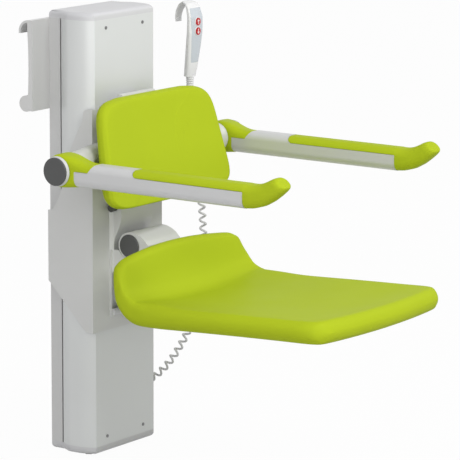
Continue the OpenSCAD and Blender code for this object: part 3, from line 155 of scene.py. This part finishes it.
def makeGrainGroup():
    group, start, end = newGroup(
        "surfaceGrain",
        [("Scale", "NodeSocketFloat", 900.0), ("Stretch", "NodeSocketVector", (1, 1, 1)),
         ("Base", "NodeSocketFloat", 0.4), ("Spread", "NodeSocketFloat", 0.06)],
        [("Height", "NodeSocketFloat"), ("Roughness", "NodeSocketFloat")])
    place3d = addNode(group, "ShaderNodeTexCoord")
    stretch = addNode(group, "ShaderNodeVectorMath", operation="MULTIPLY")
    fine = addNode(group, "ShaderNodeTexNoise")
    fine.inputs["Detail"].default_value = grainLook["fineDetail"]
    broad = addNode(group, "ShaderNodeTexNoise")
    broad.inputs["Scale"].default_value = grainLook["broadScale"]
    broad.inputs["Detail"].default_value = grainLook["broadDetail"]
    spread = addNode(group, "ShaderNodeMath", operation="MULTIPLY_ADD")
    centred = addNode(group, "ShaderNodeMath", operation="SUBTRACT")
    centred.inputs[1].default_value = 0.5  # the middle of the noise
    link = group.links.new
    link(place3d.outputs["Object"], stretch.inputs[0])
    link(start.outputs["Stretch"], stretch.inputs[1])
    link(stretch.outputs["Vector"], fine.inputs["Vector"])
    link(start.outputs["Scale"], fine.inputs["Scale"])
    link(place3d.outputs["Object"], broad.inputs["Vector"])
    link(broad.outputs["Fac"], centred.inputs[0])
    link(centred.outputs["Value"], spread.inputs[0])
    link(start.outputs["Spread"], spread.inputs[1])
    link(start.outputs["Base"], spread.inputs[2])
    link(fine.outputs["Fac"], end.inputs["Height"])
    link(spread.outputs["Value"], end.inputs["Roughness"])
    return group


def makeToneGroup():
    group, start, end = newGroup(
        "toneDrift",
        [("Colour", "NodeSocketColor", (0.5, 0.5, 0.5, 1)), ("Amount", "NodeSocketFloat", 0.04),
         ("Scale", "NodeSocketFloat", 6.0)],
        [("Colour", "NodeSocketColor")])
    place3d = addNode(group, "ShaderNodeTexCoord")
    cloud = addNode(group, "ShaderNodeTexNoise")
    cloud.inputs["Detail"].default_value = toneLook["detail"]
    swing = addNode(group, "ShaderNodeMapRange")
    swing.inputs["To Min"].default_value = toneLook["low"]
    swing.inputs["To Max"].default_value = toneLook["high"]
    amount = addNode(group, "ShaderNodeMath", operation="MULTIPLY_ADD")
    amount.inputs[2].default_value = 1.0
    shade = addNode(group, "ShaderNodeHueSaturation")
    link = group.links.new
    link(place3d.outputs["Object"], cloud.inputs["Vector"])
    link(start.outputs["Scale"], cloud.inputs["Scale"])
    link(cloud.outputs["Fac"], swing.inputs["Value"])
    link(swing.outputs["Result"], amount.inputs[0])
    link(start.outputs["Amount"], amount.inputs[1])
    link(amount.outputs["Value"], shade.inputs["Value"])
    link(start.outputs["Colour"], shade.inputs["Color"])
    link(shade.outputs["Color"], end.inputs["Colour"])
    return group


grainGroup = makeGrainGroup()
toneGroup = makeToneGroup()


# Each finish: colour, roughness, grain scale, bump depth in metres, and extras that stand
# in place of plainFinish
plainFinish = {"stretch": (1, 1, 1), "swing": 0.10, "drift": 0.05, "metal": 0.0, "gloss": 0.5,
               "bump": 0.6}
finishes = {
    "column_silver": {"colour": (0.55, 0.55, 0.548), "rough": 0.40, "metal": 0.15,
                      "grain": 2200, "depth": 0.00002, "stretch": (1, 1, 0.04)},
    "cover_white": {"colour": (0.625, 0.637, 0.635), "rough": 0.36, "metal": 0.25,
                    "grain": 2600, "depth": 0.00002, "stretch": (1, 1, 0.2)},
    "cap_white": {"colour": (0.565, 0.565, 0.58), "rough": 0.38, "grain": 1500, "depth": 0.00003},
    "carriage_white": {"colour": (0.595, 0.597, 0.592), "rough": 0.42, "metal": 0.1,
                       "grain": 2400, "depth": 0.00002},
    "bracket_silver": {"colour": (0.60, 0.60, 0.595), "rough": 0.36, "metal": 0.35,
                       "grain": 1800, "depth": 0.00002, "stretch": (0.03, 1, 1)},
    "steel": {"colour": (0.50, 0.51, 0.53), "rough": 0.34, "metal": 1.0,
              "grain": 1500, "depth": 0.00003, "stretch": (1, 1, 0.05)},
    "screw_steel": {"colour": (0.22, 0.22, 0.22), "rough": 0.34, "metal": 1.0,
                    "grain": 2500, "depth": 0.00002},
    "black_plastic": {"colour": (0.018, 0.018, 0.020), "rough": 0.55, "grain": 1400,
                      "depth": 0.00005},
    "cap_dark": {"colour": (0.066, 0.067, 0.067), "rough": 0.42, "grain": 1900, "depth": 0.00003},
    "lime_soft": {"colour": (0.395, 0.487, 0.018), "rough": 0.50, "grain": 1700, "depth": 0.00006,
                  "gloss": 0.03},
    "lime_hard": {"colour": (0.395, 0.487, 0.014), "rough": 0.46, "grain": 1500, "depth": 0.00003,
                  "gloss": 0.06},
    "arm_silver": {"colour": (0.555, 0.557, 0.56), "rough": 0.40, "metal": 0.15,
                   "grain": 2000, "depth": 0.00002, "stretch": (1, 0.04, 1)},
    "hub_white": {"colour": (0.60, 0.605, 0.59), "rough": 0.38, "metal": 0.1,
                  "grain": 2200, "depth": 0.00002},
    "handset_white": {"colour": (0.74, 0.74, 0.74), "rough": 0.46, "grain": 1600,
                      "depth": 0.00005},
    "panel_blue": {"colour": (0.52, 0.56, 0.60), "rough": 0.40, "grain": 2400,
                   "depth": 0.00002},
    "board_green": {"colour": (0.01, 0.09, 0.03), "rough": 0.5, "grain": 900, "depth": 0.00003},
    "button_red": {"colour": (0.45, 0.008, 0.012), "rough": 0.45, "grain": 1600,
                   "depth": 0.00003},
    "cord_grey": {"colour": (0.70, 0.70, 0.70), "rough": 0.42, "grain": 1300, "depth": 0.00003},
}


def makeFinish(name, own):
    f = {**plainFinish, **own}
    material = bpy.data.materials.new(name)
    material.use_nodes = True
    tree = material.node_tree
    shader = tree.nodes["Principled BSDF"]
    grain = addNode(tree, "ShaderNodeGroup", node_tree=grainGroup)
    grain.inputs["Scale"].default_value = f["grain"]
    grain.inputs["Stretch"].default_value = f["stretch"]
    grain.inputs["Base"].default_value = f["rough"]
    grain.inputs["Spread"].default_value = f["swing"]
    tone = addNode(tree, "ShaderNodeGroup", node_tree=toneGroup)
    tone.inputs["Colour"].default_value = (*f["colour"], 1)
    tone.inputs["Amount"].default_value = f["drift"]
    bump = addNode(tree, "ShaderNodeBump")
    bump.inputs["Strength"].default_value = f["bump"]
    bump.inputs["Distance"].default_value = f["depth"]
    link = tree.links.new
    link(tone.outputs["Colour"], shader.inputs["Base Color"])
    link(grain.outputs["Roughness"], shader.inputs["Roughness"])
    link(grain.outputs["Height"], bump.inputs["Height"])
    link(bump.outputs["Normal"], shader.inputs["Normal"])
    shader.inputs["Metallic"].default_value = f["metal"]
    shader.inputs["Specular IOR Level"].default_value = f["gloss"]
    return material


materials = {name: makeFinish(name, own) for name, own in finishes.items()}
print("finishes made")


def dress(obj, slot):
    obj.data.materials.clear()
    obj.data.materials.append(materials[slot])


slotOf = {part["node"]: part["material_slot"] for part in frame["record"]["subparts"]}
for node, obj in nodes.items():
    for i in range(len(obj.material_slots)):
        obj.material_slots[i].material = materials[slotOf[node]]
print("packed nodes dressed")


# Free cord: the hand control's curly cord, on the source's route and with its sizes in mm
curlyCord = {
    "route": [(327, 49, 722), (327, 50, 700), (326, 56, 640), (324, 70, 560), (322, 84, 480),
              (319, 92, 400), (312, 95, 330), (299, 92, 268), (278, 86, 210), (248, 76, 162),
              (214, 63, 124), (182, 45, 100), (157, 26, 92), (138, 15, 95), (126, 15, 95)],
    "foot": (327, 49, 752),  # in the relief, where the cord starts
    "socket": (107, 15, 95),  # in the gland, where it ends
    "curls": 38,
    "curlDiameter": 18.0,
    "wire": 5.0,
    "plainEnd": 16.0,  # uncurled length at each end
    "perTurn": 20,
    "fine": 12,  # steps between two points of the route
    "round": 3,
}


# A smooth line through the points p, at t points from the first
def splineAt(p, t):
    i = min(len(p) - 2, int(t))
    f = t - i
    a, b, c, d = p[max(0, i - 1)], p[i], p[i + 1], p[min(len(p) - 1, i + 2)]
    return 0.5 * (2 * b + (c - a) * f + (2 * a - 5 * b + 4 * c - d) * f * f
                  + (3 * b - a - 3 * c + d) * f * f * f)


def eased(t):
    s = min(1.0, max(0.0, t))
    return s * s * (3 - 2 * s)


def makeCord(c):
    route = [Vector(p) for p in c["route"]]
    steps = c["fine"] * (len(route) - 1)
    line = [splineAt(route, i / c["fine"]) for i in range(steps + 1)]
    far = [0.0]
    for i in range(steps):
        far.append(far[-1] + (line[i + 1] - line[i]).length)

    def along(s):
        for i in range(steps):
            if s <= far[i + 1]:
                return splineAt(route, (i + (s - far[i]) / (far[i + 1] - far[i])) / c["fine"])
        return line[-1]

    count = c["curls"] * c["perTurn"]
    points = [Vector(c["foot"]), route[0]]
    for i in range(count + 1):
        s = c["plainEnd"] + (far[-1] - 2 * c["plainEnd"]) * i / count
        ahead = (along(s + 1) - along(s - 1)).normalized()
        across = ahead.cross(Vector((0, 1, 0))).normalized()
        up = ahead.cross(across)
        radius = (c["curlDiameter"] - c["wire"]) / 2 * eased(min(i, count - i) / c["perTurn"])
        angle = 2 * math.pi * i / c["perTurn"]
        points.append(along(s) + radius * (math.cos(angle) * across + math.sin(angle) * up))
    points += [route[-1], Vector(c["socket"])]
    places = [place(*p) for p in points]
    curve = bpy.data.curves.new("handsetCord", "CURVE")
    curve.dimensions = "3D"
    curve.bevel_depth = c["wire"] / 2 * mm
    curve.bevel_resolution = c["round"]
    curve.use_fill_caps = True
    spline = curve.splines.new("POLY")
    spline.points.add(len(places) - 1)
    for point, p in zip(spline.points, places):
        point.co = (*p, 1)
    spline.use_smooth = True
    cord = bpy.data.objects.new("handsetCord", curve)
    bpy.context.scene.collection.objects.link(cord)
    curve.materials.append(materials["cord_grey"])
    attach(cord, "column")
    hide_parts("handset_cord")


makeCord(curlyCord)
print("cord hung")


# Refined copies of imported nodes: merged, then rounded by subdivision, or remeshed and
# evened out everywhere but close to their true edges, or only shaded smooth.
# Lengths are in mm and angles in degrees, and a piece's own values stand in place of these.
refining = {
    "voxel": 0,  # size for the remesh, if any
    "soften": 2,  # rounds of smoothing all over after the remesh
    "evenOut": 0,  # rounds of smoothing away from the true edges
    "edgeAngle": 52,  # from which an edge is a true one
    "near": 0.8,  # within this of a true edge nothing is evened out
    "far": 4.0,  # and from here on everything is
    "levels": 0,  # of subdivision, if any
    "crisp": None,  # edges that subdivision keeps crisper, from an angle on
    "melt": 0,  # rounds of smoothing all over after subdivision
    "swell": 0.0,
    "hollow": None,
    "fall": None,
    "crease": 30,  # for the shading of a piece that keeps its faces
}
cage = {"rounds": 5, "levels": 2, "step": 0.9}
smoothing = 0.5  # how far one round of smoothing goes
edgeWeight = 80  # how much larger faces lead the shading


# Points along the edges that are sharper than the angle, a millimetre apart
def trueEdges(mesh, angle):
    shape = bmesh.new()
    shape.from_mesh(mesh)
    points = []
    for edge in shape.edges:
        if len(edge.link_faces) == 2 and edge.calc_face_angle() > math.radians(angle):
            a, b = edge.verts[0].co, edge.verts[1].co
            steps = max(1, int((b - a).length / mm))
            points += [a.lerp(b, i / steps) for i in range(steps + 1)]
    shape.free()
    tree = KDTree(len(points))
    for i, point in enumerate(points):
        tree.insert(point, i)
    tree.balance()
    return tree, len(points)


def freeToMove(piece, edges, near, far):
    tree, count = edges
    group = piece.vertex_groups.new(name="evenOut")
    for vertex in piece.data.vertices:
        away = tree.find(vertex.co)[2] / mm if count else far
        group.add([vertex.index], eased((away - near) / (far - near)), "REPLACE")
    return group.name


def subdividedPoints(piece):
    modifier = piece.modifiers.new("trial", "SUBSURF")
    modifier.levels = modifier.render_levels = cage["levels"]
    seen = piece.evaluated_get(bpy.context.evaluated_depsgraph_get())
    points = [seen.data.vertices[i].co.copy() for i in range(len(piece.data.vertices))]
    piece.modifiers.remove(modifier)
    return points


# Moves the cage until its subdivided surface passes through the source's own points
def passThroughPoints(piece):
    wanted = [vertex.co.copy() for vertex in piece.data.vertices]
    for _ in range(cage["rounds"]):
        for vertex, aim, now in zip(piece.data.vertices, wanted, subdividedPoints(piece)):
            vertex.co += cage["step"] * (aim - now)
        piece.data.update()


def boxOf(piece):
    places = [vertex.co for vertex in piece.data.vertices]
    return [(min(p[i] for p in places), max(p[i] for p in places)) for i in range(3)]


# Softening draws a piece in, so it is stretched back to the size it had
def fillBox(piece, full, swell):
    now = boxOf(piece)
    for vertex in piece.data.vertices:
        for i in range(3):
            share = (vertex.co[i] - now[i][0]) / (now[i][1] - now[i][0])
            low, high = full[i][0] - swell, full[i][1] + swell
            vertex.co[i] = low + share * (high - low)
    piece.data.update()


# Fills the inner bend between the raised rear rim and the pan with a wide round, which
# rises towards the sides with the pan
def easeHollow(piece, h):
    middle = Vector(h["corner"]) * mm
    rim, pan = Vector(h["rim"]).normalized(), Vector(h["pan"]).normalized()
    toward = (rim + pan).normalized()
    half = rim.angle(toward)
    radius = h["radius"] * mm
    group = piece.vertex_groups.new(name="hollow")
    for vertex in piece.data.vertices:
        side = Vector((vertex.co.y, vertex.co.z))
        aside = min(abs(vertex.co.x) / mm / h["reach"], 1.0) ** h["power"]
        corner = middle + Vector((0.0, aside * h["rise"] * mm))
        centre = corner + toward * radius / math.sin(half)
        facing = eased(h["hold"] * Vector((vertex.normal.y, vertex.normal.z)).dot(toward))
        away = side - centre
        within = away.length > radius and away.angle(-toward) < math.pi / 2 - half
        if facing and within and (side - corner).length < radius:
            shift = facing * (centre + away.normalized() * radius - side)
            vertex.co.y += shift.x
            vertex.co.z += shift.y
        fade = eased(h["fade"] - (side - corner).length / radius)
        group.add([vertex.index], fade, "REPLACE")
    piece.data.update()
    modify(piece, "SMOOTH", factor=smoothing, iterations=h["iterations"],
           vertex_group=group.name)
    piece.vertex_groups.clear()


# Rolls the pan down a little toward its front edge
def sagFront(piece, f):
    for vertex in piece.data.vertices:
        share = (f["rear"] - vertex.co.y / mm) / (f["rear"] - f["front"])
        if share > 0:
            vertex.co.z -= f["drop"] * mm * min(share, 1.0) ** f["power"]
    piece.data.update()


def subdivideSoftly(piece, r):
    passThroughPoints(piece)
    modify(piece, "SUBSURF", levels=r["levels"], render_levels=r["levels"])
    if r["melt"]:
        full = boxOf(piece)
        modify(piece, "SMOOTH", factor=smoothing, iterations=r["melt"])
        if r["hollow"]:
            easeHollow(piece, r["hollow"])
        fillBox(piece, full, r["swell"] * mm)
    if r["fall"]:
        sagFront(piece, r["fall"])


def remeshSoftly(piece, r):
    edges = trueEdges(piece.data, r["edgeAngle"])
    modify(piece, "REMESH", mode="VOXEL", voxel_size=r["voxel"] * mm)
    modify(piece, "SMOOTH", factor=smoothing, iterations=r["soften"])
    group = freeToMove(piece, edges, r["near"], r["far"])
    modify(piece, "SMOOTH", factor=smoothing, iterations=r["evenOut"], vertex_group=group)
    piece.vertex_groups.clear()


def refinedCopy(name, node, body, **own):
    r = {**refining, **own}
    piece = bpy.data.objects.new(name, nodes[node].data.copy())
    bpy.context.scene.collection.objects.link(piece)
    takeOnly(piece)
    if piece.data.has_custom_normals:
        bpy.ops.mesh.customdata_custom_splitnormals_clear()
    editAll(piece)
    bpy.ops.mesh.remove_doubles(threshold=sameSpot)
    if r["levels"]:
        bpy.ops.mesh.tris_convert_to_quads(face_threshold=math.pi, shape_threshold=math.pi)
    if r["crisp"]:
        bpy.ops.mesh.select_all(action="DESELECT")
        bpy.ops.mesh.edges_select_sharp(sharpness=math.radians(r["crisp"]["angle"]))
        bpy.ops.transform.edge_crease(value=r["crisp"]["share"])
    leaveEdit()
    if r["voxel"]:
        remeshSoftly(piece, r)
    if r["levels"]:
        subdivideSoftly(piece, r)
    takeOnly(piece)
    if r["voxel"] or r["levels"]:
        bpy.ops.object.shade_smooth()
    else:
        bpy.ops.object.shade_smooth_by_angle(angle=math.radians(r["crease"]))
        modify(piece, "WEIGHTED_NORMAL", keep_sharp=True, weight=edgeWeight)
    slot = slotOf[node]
    dress(piece, slot)
    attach(piece, body)
    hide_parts(node)
    return piece


# Soft pieces: moulded foam with its own skin, so round-edged but without seams or welts
softPieces = {
    "seatCushion": {
        "node": "seat_cushion", "body": "seat", "levels": 3,
        "melt": 100,  # rounds of smoothing all over
        "swell": 0.5,
        "hollow": {
            "corner": (-306.7, -557.1),  # where rim and pan would meet, as Y and Z
            "rim": (0.214, 0.977),  # the way that each runs from there
            "pan": (-0.998, 0.063),
            "radius": 50,
            "iterations": 60,
            "rise": 13,  # at the sides, over the middle
            "reach": 215,  # from the middle to where the rise is full
            "power": 1.8,
            "hold": 3.5,  # how far round the side edges the filling still holds
            "fade": 2.2,  # where smoothing ends, in radii from the corner
        },
        "fall": {"rear": -320, "front": -807, "drop": 7.0, "power": 2.0},  # along Y
    },
    "backrestCushion": {"node": "backrest_cushion", "body": "carriage", "levels": 3, "melt": 10,
                        "crisp": {"angle": 32, "share": 0.7}},
    "armPadLeft": {"node": "arm_pad_left", "body": "arm_left", "voxel": 1.3, "evenOut": 40},
    "armPadRight": {"node": "arm_pad_right", "body": "arm_right", "voxel": 1.3, "evenOut": 40},
}
for name, own in softPieces.items():
    refinedCopy(name, **own)
print("soft pieces shaped")


# Hard pieces whose curves are faceted in the source
hardPieces = {
    "columnProfile": {"node": "column_profile", "body": "column", "crease": 25},
    "frontCover": {"node": "front_cover", "body": "column", "crease": 35},
    "topCap": {"node": "top_cap", "body": "column", "crease": 40},
    "bottomCap": {"node": "bottom_cap", "body": "column", "crease": 40},
    "carrierLeft": {"node": "carrier_left", "body": "carriage", "voxel": 1.6, "evenOut": 60},
    "carrierRight": {"node": "carrier_right", "body": "carriage", "voxel": 1.6, "evenOut": 60},
    "armCoverLeft": {"node": "arm_cover_left", "body": "arm_left", "voxel": 1.2, "evenOut": 60},
    "armCoverRight": {"node": "arm_cover_right", "body": "arm_right", "voxel": 1.2,
                      "evenOut": 60},
    "handsetFront": {"node": "handset_front", "body": "column", "voxel": 0.7, "evenOut": 60,
                     "near": 0.4, "far": 2.5, "soften": 1},
    "handsetBack": {"node": "handset_back", "body": "column", "voxel": 0.7, "evenOut": 60,
                    "near": 0.4, "far": 2.5, "soften": 1},
    "mountBlock": {"node": "mount_block", "body": "carriage", "crease": 35},
}
for name, own in hardPieces.items():
    refinedCopy(name, **own)
print("hard pieces refined")


# Small trim: the white arrow and the pale ring of each button
trim = {"arrowCrease": 35, "turnedCrease": 28, "turnSteps": 32}


def finishTrim(piece, body, slot):
    dress(piece, slot)
    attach(piece, body)


# A flat outline, given its thickness by one extrusion
def outlineToPiece(name, points, thick, body, slot):
    bpy.ops.object.select_all(action="DESELECT")
    bpy.ops.mesh.primitive_circle_add(vertices=len(points), radius=1, fill_type="NGON")
    piece = bpy.context.active_object
    piece.name = name
    for vertex, point in zip(piece.data.vertices, points):
        vertex.co = point
    editAll(piece)
    bpy.ops.mesh.normals_make_consistent(inside=False)
    bpy.ops.mesh.extrude_region_move(TRANSFORM_OT_translate={"value": thick})
    bpy.ops.mesh.select_all(action="SELECT")
    bpy.ops.mesh.normals_make_consistent(inside=False)
    leaveEdit()
    settle(piece)
    bpy.ops.object.shade_smooth_by_angle(angle=math.radians(trim["arrowCrease"]))
    finishTrim(piece, body, slot)


buttons = {
    "side": 327.0,
    "faceDepth": 71.9,  # where the red caps end, in depth
    "mid": {"button_up": 877.5, "button_down": 856.5},
    "arrow": [(0, 5.6), (-4.0, 1.0), (-1.0, 1.0), (-1.0, -5.2),
              (1.0, -5.2), (1.0, 1.0), (4.0, 1.0)],
    "thick": 0.25,
    "sunk": 0.1,  # how far the arrow reaches into its button
    "ringInner": 8.7,
    "ringOuter": 10.4,
    "ringDepth": 68.9,
    "ringTall": 1.6,
    "ringChamfer": 0.4,
}


def makeArrow(b, node, turn):
    points = [place(b["side"] + x, b["faceDepth"] - b["sunk"], b["mid"][node] + turn * z)
              for x, z in b["arrow"]]
    outlineToPiece(f"{node}Arrow", points, (0, -b["thick"] * mm, 0), node, "handset_white")


# Closed outline of radius and height, turned once about its own upright axis
def turned(name, profile, spot, body, slot, tilt=0.0):
    bpy.ops.object.select_all(action="DESELECT")
    bpy.ops.mesh.primitive_circle_add(vertices=len(profile), radius=1, fill_type="NOTHING")
    piece = bpy.context.active_object
    piece.name = name
    for vertex, (radius, height) in zip(piece.data.vertices, profile):
        vertex.co = (radius * mm, 0, height * mm)
    modify(piece, "SCREW", steps=trim["turnSteps"], render_steps=trim["turnSteps"], axis="Z")
    editAll(piece)
    bpy.ops.mesh.remove_doubles(threshold=sameSpot)
    bpy.ops.mesh.normals_make_consistent(inside=False)
    leaveEdit()
    piece.rotation_euler.x = math.radians(tilt)
    piece.location = spot
    settle(piece)
    bpy.ops.object.shade_smooth_by_angle(angle=math.radians(trim["turnedCrease"]))
    finishTrim(piece, body, slot)


def makeRing(b, node):
    inner, outer, tall = b["ringInner"], b["ringOuter"], b["ringTall"]
    cut = b["ringChamfer"]
    profile = [(inner, 0), (inner, tall), (outer - cut, tall), (outer, tall - cut), (outer, 0)]
    turned(f"{node}Ring", profile, place(b["side"], b["ringDepth"], b["mid"][node]), "column",
           "handset_white", tilt=90)


for node, turn in (("button_up", 1), ("button_down", -1)):
    makeArrow(buttons, node, turn)
    makeRing(buttons, node)
print("buttons trimmed")


# Ribbed bend relief under the hand control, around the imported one
reliefRibs = {"side": 327.0, "depth": 49.0, "top": 761.0, "foot": 732.0, "ribs": 6,
              "inner": 6.2, "outer": 9.6,
              "narrow": 1.4,  # smaller at the foot, outside
              "innerNarrow": 1.6,  # and inside
              "groove": 1.1}


def makeRelief(c):
    rows = 4 * c["ribs"]
    tall = c["top"] - c["foot"]
    profile = []
    for i in range(rows + 1):
        share = i / rows
        dip = c["groove"] if i % 4 in (2, 3) else 0.0
        profile.append((c["outer"] - c["narrow"] * share - dip, c["top"] - tall * share))
    profile += [(c["inner"] - c["innerNarrow"], c["foot"]), (c["inner"], c["top"])]
    profile = [(radius, height - c["top"]) for radius, height in profile]
    turned("reliefRibs", profile, place(c["side"], c["depth"], c["top"]), "column", "cord_grey")


makeRelief(reliefRibs)
print("relief ribbed")


# Floor, lamps and world
studio = {
    "floorSide": 40.0,
    "floorDrop": 0.004,
    "floorColour": (0.56, 0.56, 0.56, 1),
    "floorRough": 0.9,
    "floorWhite": 0.97,  # how much of the white the camera sees on the floor
    "worldLevel": 0.52,
    "lamps": {
        "keyLamp": {"place": (-0.8, -4.4, 3.4), "size": 3.0, "power": 185},
        "fillLamp": {"place": (-3.9, -2.0, 0.9), "size": 2.4, "power": 56},
        "topLamp": {"place": (2.6, -2.6, 1.6), "size": 2.6, "power": 20},
    },
    "aim": (0.0, -0.3, -0.4),
}


# White for the camera and for reflections, and the plain shader for all other light
def whiteToCamera(tree, shader, output, share):
    paths = addNode(tree, "ShaderNodeLightPath")
    glow = addNode(tree, "ShaderNodeEmission")
    glow.inputs["Strength"].default_value = 1.0
    seen = addNode(tree, "ShaderNodeMath", operation="MAXIMUM")
    glossy = addNode(tree, "ShaderNodeMath", operation="MAXIMUM")
    amount = addNode(tree, "ShaderNodeMath", operation="MULTIPLY")
    amount.inputs[1].default_value = share
    mixer = addNode(tree, "ShaderNodeMixShader")
    link = tree.links.new
    link(paths.outputs["Is Camera Ray"], seen.inputs[0])
    link(paths.outputs["Is Glossy Ray"], glossy.inputs[0])
    link(paths.outputs["Is Transmission Ray"], glossy.inputs[1])
    link(glossy.outputs["Value"], seen.inputs[1])
    link(seen.outputs["Value"], amount.inputs[0])
    link(amount.outputs["Value"], mixer.inputs[0])
    link(shader.outputs[0], mixer.inputs[1])
    link(glow.outputs[0], mixer.inputs[2])
    link(mixer.outputs[0], output.inputs["Surface"])


def makeStudio(s):
    scene = bpy.context.scene
    scene.view_settings.view_transform = "Standard"
    world = bpy.data.worlds.new("studioWorld")
    scene.world = world
    world.use_nodes = True
    backdrop = world.node_tree.nodes["Background"]
    backdrop.inputs["Color"].default_value = (1, 1, 1, 1)
    backdrop.inputs["Strength"].default_value = s["worldLevel"]
    whiteToCamera(world.node_tree, backdrop, world.node_tree.nodes["World Output"], share=1.0)
    bpy.ops.mesh.primitive_plane_add(
        size=s["floorSide"], location=(0, 0, cadBounds[0].z - s["floorDrop"]))
    floor = bpy.context.active_object
    floor.name = "studioFloor"
    settle(floor)
    paint = bpy.data.materials.new("floorPaint")
    paint.use_nodes = True
    base = paint.node_tree.nodes["Principled BSDF"]
    base.inputs["Base Color"].default_value = s["floorColour"]
    base.inputs["Roughness"].default_value = s["floorRough"]
    whiteToCamera(paint.node_tree, base, paint.node_tree.nodes["Material Output"],
                  share=s["floorWhite"])
    floor.data.materials.append(paint)
    for name, lamp in s["lamps"].items():
        data = bpy.data.lights.new(name, "AREA")
        data.size = lamp["size"]
        data.energy = lamp["power"]
        light = bpy.data.objects.new(name, data)
        scene.collection.objects.link(light)
        light.location = lamp["place"]
        aim = Vector(s["aim"]) - light.location
        light.rotation_euler = aim.to_track_quat("-Z", "Y").to_euler()


makeStudio(studio)
print("studio lit")
